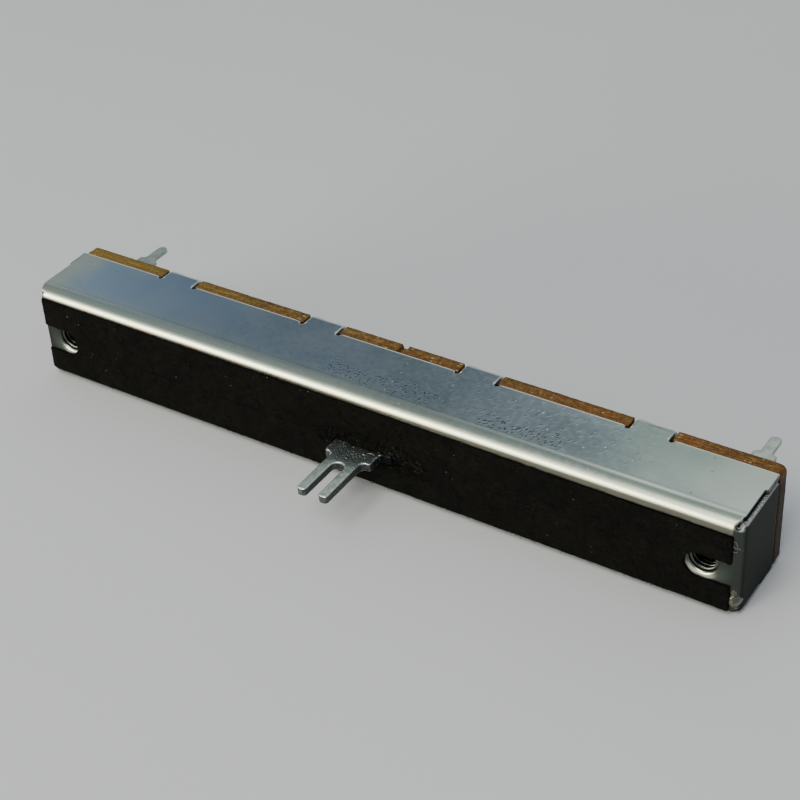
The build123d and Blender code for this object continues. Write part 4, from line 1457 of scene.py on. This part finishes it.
# ------------------------------------------------------------------ lever, board, terminals
class POT_OT_lever(bpy.types.Operator):
    """Stamps the fork lever, with rolled edges on top and torn sides"""

    bl_idname = "pot.lever"
    bl_label = "Fork lever"

    def execute(self, context):
        settings = context.scene.pot_lever
        s = sizes(settings)
        half, fork, gap = HALF_BLADE, s.fork_width / 2, s.fork_gap / 2
        tip, root = LEVER[0].y, LEVER[1].y
        left = [
            (-half, root, 0.1),
            (-half, s.notch_end, 0),
            (-half + s.notch_depth, s.notch_end, 0.1),
            (-half + s.notch_depth, s.notch_start, 0.1),
            (-half, s.notch_start, 0),
            (-half, -s.shoulder, s.shoulder_round),
            (-fork, -s.shoulder + 0.12, s.throat_round),
            (-fork, tip, s.prong_round),
            (-gap, tip, s.prong_round),
        ]
        left += sharp(arc((0, -s.fork_root - gap), gap, 180, 90, 8))
        right = mirrored(left[:-1])
        arm = [
            (half, -s.arm_height, 0.2),
            (half + s.arm_reach, 0.18 - s.arm_height, 0.1),
            (half + s.arm_reach, -s.arm_foot, 0.02),
            (half, 0.05 - s.arm_foot, 0),
        ]
        at = right.index((half, -s.shoulder, s.shoulder_round)) + 1
        corners = left + right[:at] + arm + right[at:]
        outline = uneven(spaced(rounded(corners, 7), 0.16), (0.014, 2.1, 3, 5))
        outline = [(LEVER_X + x, y) for x, y in outline]

        def place(x, y, depth):
            uneven_face = UNTRUE * (1 + noise.noise((x * 0.8, y * 0.8, 1)))
            return (x, y, LEVER[1].z - depth - uneven_face)

        inner = grid(np.arange(LEVER_X - half, LEVER_X + half, 0.3), np.arange(tip, root, 0.3))
        shell = Shell()
        thickness = LEVER[1].z - LEVER[0].z - 0.03
        loops = [(outline, True)]
        shell.add_blank(loops, inner, place, thickness, s.roll, s.burr, layers=5, rough=0.035)
        piece = shell.piece("fork_lever", lever_steel(settings), "slider", "lever_steel")
        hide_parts("lever")
        return {"FINISHED"}


class POT_OT_board(bpy.types.Operator):
    """Saws the paper-phenolic board, with its notches for the tabs"""

    bl_idname = "pot.board"
    bl_label = "Phenolic board"

    def execute(self, context):
        settings = context.scene.pot_board
        s = sizes(settings)
        half_x, half_z = BOARD[1].x, BOARD[1].z
        tabs = [context.scene.pot_case.tab_pitch / MM * k for k in TAB_STEPS]
        half_notch = s.notch_width / 2

        def edge(side, extra):
            """The upper or the lower long edge, from right to left."""
            notches = [
                [
                    (tab + half_notch, 0, 0.06),
                    (tab + half_notch, s.notch_depth, 0.25),
                    (tab - half_notch, s.notch_depth, 0.25),
                    (tab - half_notch, 0, 0.06),
                ]
                for tab in reversed(tabs)
            ]
            rows = notches[:2] + extra + notches[2:]
            return [(x, side * (half_z - sunk), r) for row in rows for x, sunk, r in row]

        top, foot = s.centre_notch_top / 2, s.centre_notch_foot / 2
        centre = [(top, 0), (foot, s.centre_notch_depth), (-foot, s.centre_notch_depth), (-top, 0)]
        centre = [(s.centre_notch_x + x, sunk, 0.08) for x, sunk in centre]
        upper = [(half_x, half_z, s.corner), *edge(1, [centre]), (-half_x, half_z, s.corner)]
        lower = [(half_x, -half_z, s.corner), *edge(-1, []), (-half_x, -half_z, s.corner)]
        corners = upper + lower[::-1]
        outline = []
        for x, y in spaced(rounded(corners), 0.25):
            rough = noise.noise((x * 1.4, y * 1.4, 2)) + 0.6 * noise.noise((x * 5, y * 5, 2))
            inwards = s.ragged * (1 + rough)
            at_end = abs(x) > half_x - 0.2
            outline.append((x - math.copysign(inwards, x) * at_end, y - math.copysign(inwards, y)))
        loops = [(outline, True)]
        for low, high in EYELETS.values():
            middle = ((low.x + high.x) / 2, (low.z + high.z) / 2)
            loops.append((arc(middle, s.hole_radius, 0, 360, 32)[:-1], True))
        inner = grid(np.arange(-half_x, half_x, 0.9), np.arange(-half_z, half_z, 0.9))

        def place(x, y, depth):
            return (x, BOARD[0].y + depth, y)

        shell = Shell()
        thickness = BOARD[1].y - BOARD[0].y
        shell.add_blank(loops, inner, place, thickness, s.edge, s.edge, layers=7, rough=0.05)
        piece = shell.piece("phenolic_board", phenolic(settings), "housing", "phenolic")
        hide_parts("board")
        return {"FINISHED"}


class POT_OT_terminals(bpy.types.Operator):
    """Stamps and folds the three solder terminals"""

    bl_idname = "pot.terminals"
    bl_label = "Solder terminals"

    def execute(self, context):
        settings = context.scene.pot_pins
        s = sizes(settings)
        material = tinned("tinned_brass", tuple(settings.tin), tuple(settings.tin_stain))
        for name, (low, high) in TERMINALS.items():
            side = 1 if high.z > 0 else -1
            outer = high.z if side > 0 else -low.z
            foot = low.z if side > 0 else -high.z
            middle = (low.x + high.x) / 2
            half = (high.x - low.x) / 2
            run = outer - s.fold_radius
            bend = s.fold_radius * QUARTER
            shoulder = run + bend + s.shoulder - s.fold_radius
            tip = run + bend + (high.y - low.y) - s.fold_radius
            pin = s.width / 2
            right = [
                (half, foot, 0.5),
                (half, shoulder, 0.42),
                (pin, shoulder + 0.1, 0.35),
                (pin, tip, pin * 0.98),
            ]
            outline = spaced(rounded(right + mirrored(right), 8), 0.2)
            eyelet = EYELETS[name]
            level = abs(eyelet[0].z + eyelet[1].z) / 2
            hole = arc((0, level), s.hole_radius, 0, 360, 32)[:-1]
            path = folded([run, 0], s.fold_radius)

            def place(x, y, depth, path=path, middle=middle, side=side):
                ahead, inwards = path(y, depth)
                return (middle + x, BOARD[1].y + inwards, side * ahead)

            rows = list(np.arange(foot, run, 0.3)) + list(np.linspace(run, run + bend, 8))
            rows += list(np.arange(run + bend + 0.2, tip, 0.35))
            inner = grid(np.arange(-half, half, 0.25), rows)
            shell = Shell()
            loops = [(outline, True), (hole, True)]
            shell.add_blank(loops, inner, place, s.thickness, s.roll, 0.03, layers=3, rough=0.02)
            piece = shell.piece(f"solder_terminal_{name}", material, "housing", "tinned_brass")
            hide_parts(f"terminal_{name}")
        return {"FINISHED"}


class POT_OT_eyelets(bpy.types.Operator):
    """Rolls the hollow rivets that clinch the terminals to the board"""

    bl_idname = "pot.eyelets"
    bl_label = "Eyelets"

    def execute(self, context):
        settings = context.scene.pot_pins
        s = sizes(settings)
        material = tinned("eyelet_brass", tuple(settings.brass), (0.5, 0.4, 0.22), 5.0)
        inputs = [(k, "NodeSocketFloat") for k in ("Radius", "Wall", "Flange", "Length")]
        wiring, given = node_group("hollow_rivet", inputs)
        rim_flatness = 0.42
        wall = wiring.add(
            "GeometryNodeCurvePrimitiveQuadrilateral",
            {"mode": "RECTANGLE"},
            {"Width": given["Wall"], "Height": given["Length"] - given["Wall"]},
        )
        tube = swept(wiring, circle(wiring, 36, given["Radius"] - given["Wall"] * 0.5), wall)
        rim_radius = (given["Flange"] - given["Radius"] + given["Wall"]) * 0.5
        section = circle(wiring, 12, rim_radius)
        section = transformed(wiring, section, "Scale", (1.0, rim_flatness, 1.0))
        rim = swept(wiring, circle(wiring, 36, given["Flange"] - rim_radius), section)
        parts = wiring.add("GeometryNodeJoinGeometry")
        for side in (-1, 1):
            drop = (given["Length"] * 0.5 - rim_radius * rim_flatness) * side
            offset = wiring.add("ShaderNodeCombineXYZ", sockets={"Z": drop})
            moved = transformed(wiring, rim, "Translation", offset)
            wiring.feed(parts.socket.node.inputs[0], moved)
        wiring.feed(parts.socket.node.inputs[0], tube)
        upright = transformed(wiring, parts, "Rotation", (QUARTER, 0, 0))
        ends_in(wiring, instanced(wiring, given["Geometry"], upright), material)
        first = next(iter(EYELETS.values()))
        values = {
            "Radius": (s.hole_radius - 0.02) * MM,
            "Wall": s.wall * MM,
            "Flange": s.flange * MM,
            "Length": (first[1].y - first[0].y) * MM,
        }
        points = [tuple((low + high) / 2) for low, high in EYELETS.values()]
        piece = grown("hollow_rivets", points, [], wiring, values, material, "housing")
        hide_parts(*[f"eyelet_{name}" for name in EYELETS])
        return {"FINISHED"}


class POT_OT_glue(bpy.types.Operator):
    """Leaves the glue that squeezed out at the felt's right end: two joined blobs, whiskers"""

    bl_idname = "pot.glue"
    bl_label = "Dried glue"

    def execute(self, context):
        settings = context.scene.pot_glue
        s = sizes(settings)
        material = glue(settings)
        fold_radius = context.scene.pot_case.fold_radius / MM
        shell = Shell()
        rings, around = 10, 40
        for up, share in ((-0.15, 1.0), (0.85, 0.5)):  # a large blob and a small one above it
            middle_z = s.blob_z + up
            points = [(s.blob_x, -s.blob_depth * share, middle_z)]
            for ring in range(1, rings + 1):
                t = ring / rings
                for k in range(around):
                    angle = 2 * math.pi * k / around
                    ca, sa = math.cos(angle), math.sin(angle)
                    wobble = 1 + 0.35 * noise.noise((ca * 1.3, sa * 1.3, 5 + up))
                    x = s.blob_x + s.blob_width * share * t * wobble * ca
                    z = middle_z + s.blob_height * share * 0.8 * t * wobble * sa
                    lump = 1 + 0.7 * noise.noise((x * 2.2, z * 2.2, 1))
                    rise = s.blob_depth * share * math.sqrt(max(0.0, 1 - t**2.2)) * lump
                    rise -= 0.04 if ring == rings else 0
                    points.append((x, fold_drop(x, fold_radius) - rise, z))
            faces = [(0, 1 + k, 1 + (k + 1) % around) for k in range(around)]
            faces += joined_rings(rings, around, 1)
            outer = 1 + (rings - 1) * around
            faces.append(tuple(outer + k for k in reversed(range(around))))
            shell.add(points, faces)
        shell.piece("glue_blob", material, "housing", "tinned_brass")

        strands = (  # x and z of the points of each whisker
            ((42.90, 3.60), (43.20, 3.62), (43.40, 3.22), (43.45, 2.85), (43.92, 2.35)),
            ((43.05, 3.05), (43.32, 2.90), (43.66, 2.82)),
            ((42.94, 2.52), (43.22, 2.34), (43.44, 2.46)),
        )
        draw = random.Random(4)
        curve = bpy.data.curves.new("glue_whiskers", "CURVE")
        curve.dimensions = "3D"
        curve.bevel_depth = s.thread_width / 2 * MM
        curve.bevel_resolution = 2
        curve.resolution_u = 6
        for strand in strands:
            spline = curve.splines.new("BEZIER")
            spline.bezier_points.add(len(strand) - 1)
            for i, (point, (x, z)) in enumerate(zip(spline.bezier_points, strand)):
                lift = 0.04 + draw.uniform(0, 0.08)
                point.co = Vector((x, fold_drop(x, fold_radius) - lift, z)) * MM
                point.handle_left_type = point.handle_right_type = "AUTO"
                point.radius = 1.0 - 0.12 * i
        mesh = plain_mesh(bpy.data.objects.new("glue_whiskers_curve", curve))
        mesh.shade_smooth()
        pale = bpy.data.objects["felt_lint"].data.materials[0]
        placed("glue_whiskers", mesh, pale, "housing")
        return {"FINISHED"}


class POT_OT_inner(bpy.types.Operator):
    """Gives every piece inside the case its finish"""

    bl_idname = "pot.inner"
    bl_label = "Inner pieces"

    def execute(self, context):
        rows = [
            (moulded, "white_acetal", (0.80, 0.78, 0.72), (0.70, 0.68, 0.61)),
            (moulded, "black_nylon", (0.016, 0.016, 0.018), (0.032, 0.032, 0.034)),
            (moulded, "stop_rubber", (0.030, 0.030, 0.030), (0.055, 0.053, 0.050), 0.75),
            (drawn, "spring_bronze", (0.70, 0.46, 0.22), (0.52, 0.33, 0.16)),
            (drawn, "rod_steel", (0.70, 0.71, 0.72), (0.56, 0.57, 0.58), 0.06),
            (printed, "carbon_ink", (0.014, 0.014, 0.015), (0.03, 0.03, 0.032), 0.0),
            (printed, "silver_ink", (0.60, 0.60, 0.57), (0.44, 0.44, 0.41), 0.8),
        ]
        made = {slot: finish(slot, *values) for finish, slot, *values in rows}
        for part in frame["record"]["subparts"]:
            node = frame["nodes"][part["node"]]
            if part["material_slot"] in made:
                for slot in node.material_slots:
                    slot.link = "OBJECT"
                    slot.material = made[part["material_slot"]]
        return {"FINISHED"}


# ------------------------------------------------------------------ stage
class POT_OT_stage(bpy.types.Operator):
    """Sets up the floor, the soft lights and the camera"""

    bl_idname = "pot.stage"
    bl_label = "Stage"

    def execute(self, context):
        scene = context.scene
        settings = scene.pot_stage
        level = CAD_BOX[0].z - 0.00002
        reach, lines = 1.6, 9
        mesh = bpy.data.meshes.new("floor")
        steps = np.linspace(-reach, reach, lines)
        points = [(x, y, level) for y in steps for x in steps]
        first = [r * lines + c for r in range(lines - 1) for c in range(lines - 1)]
        faces = [(k, k + 1, k + lines + 1, k + lines) for k in first]
        mesh.from_pydata(points, [], faces)
        mesh.materials.append(floor_finish(settings))
        floor = bpy.data.objects.new("floor", mesh)
        scene.collection.objects.link(floor)

        world = bpy.data.worlds.new("soft_room")
        scene.world = world
        world.use_nodes = True
        world.node_tree.nodes["Background"].inputs["Color"].default_value = (*settings.sky, 1)
        world.node_tree.nodes["Background"].inputs["Strength"].default_value = 1.0
        lamps = [  # name, place and size in metres, radiance, tint
            ("key", (0.04, -0.42, 0.58), (0.36, 0.36), 7.0, (1.0, 0.98, 0.92)),
            ("low_front", (-0.36, -0.66, 0.085), (0.50, 0.17), 24.0, (1.0, 0.97, 0.79)),
            ("overhead", (-0.35, -0.12, 0.80), (0.90, 0.90), 0.60, (1.0, 1.0, 0.97)),
            ("right_glow", (-0.10, 0.60, 0.53), (0.42, 0.42), 1.0, (0.98, 1.0, 0.93)),
            ("left_glow", (-0.56, 0.42, 0.36), (0.16, 0.16), 0.8, (0.96, 1.0, 0.93)),
        ]
        for name, place, (width, height), brightness, tint in lamps:
            light = bpy.data.lights.new(name, "AREA")
            light.shape = "RECTANGLE"
            light.size, light.size_y = width, height
            light.energy = brightness * math.pi * width * height
            light.color = tint
            lamp = bpy.data.objects.new(name, light)
            lamp.location = place
            lamp.rotation_mode = "QUATERNION"
            lamp.rotation_quaternion = (-Vector(place)).to_track_quat("-Z", "Y")
            scene.collection.objects.link(lamp)

        lens = bpy.data.cameras.new("camera")
        lens.lens = settings.focal
        lens.sensor_width = 36.0
        lens.clip_start = 0.005
        lens.clip_end = 10.0
        camera = bpy.data.objects.new("camera", lens)
        scene.collection.objects.link(camera)
        azimuth, elevation = math.radians(settings.azimuth), math.radians(settings.elevation)
        roll = math.radians(settings.roll)
        back = Vector(
            (
                math.sin(azimuth) * math.cos(elevation),
                -math.cos(azimuth) * math.cos(elevation),
                math.sin(elevation),
            )
        )
        right = (-back).cross(Vector((0, 0, 1))).normalized()
        up = right.cross(-back)
        across = right * math.cos(roll) + up * math.sin(roll)
        upright = up * math.cos(roll) - right * math.sin(roll)
        turn = Matrix((across, upright, back)).transposed()
        camera.matrix_world = Matrix.Translation(settings.place) @ turn.to_4x4()
        scene.camera = camera
        return {"FINISHED"}


# ------------------------------------------------------------------ panel and registration
STEPS = (
    POT_OT_case,
    POT_OT_threads,
    POT_OT_felt,
    POT_OT_lips,
    POT_OT_fibres,
    POT_OT_lever,
    POT_OT_board,
    POT_OT_terminals,
    POT_OT_eyelets,
    POT_OT_glue,
    POT_OT_inner,
    POT_OT_stage,
)
SETTINGS = {
    "pot_case": PotCaseSettings,
    "pot_felt": PotFeltSettings,
    "pot_lever": PotLeverSettings,
    "pot_board": PotBoardSettings,
    "pot_pins": PotPinSettings,
    "pot_glue": PotGlueSettings,
    "pot_stage": PotStageSettings,
}


class POT_PT_build(bpy.types.Panel):
    """Lists the steps and their settings"""

    bl_idname = "POT_PT_build"
    bl_label = "Slide potentiometer"
    bl_space_type = "VIEW_3D"
    bl_region_type = "UI"
    bl_category = "Slide Pot"

    def draw(self, context):
        for step in STEPS:
            self.layout.operator(step.bl_idname)
        for key, group in SETTINGS.items():
            box = self.layout.box()
            for name in group.__annotations__:
                box.prop(getattr(context.scene, key), name)


def register():
    for made in (*SETTINGS.values(), *STEPS, POT_PT_build):
        bpy.utils.register_class(made)
    for key, group in SETTINGS.items():
        setattr(bpy.types.Scene, key, bpy.props.PointerProperty(type=group))


def unregister():
    for key in SETTINGS:
        delattr(bpy.types.Scene, key)
    for made in reversed((*SETTINGS.values(), *STEPS, POT_PT_build)):
        bpy.utils.unregister_class(made)


def main():
    register()
    for step in STEPS:
        area, name = step.bl_idname.split(".")
        getattr(getattr(bpy.ops, area), name)()


if __name__ == "__main__":
    main()
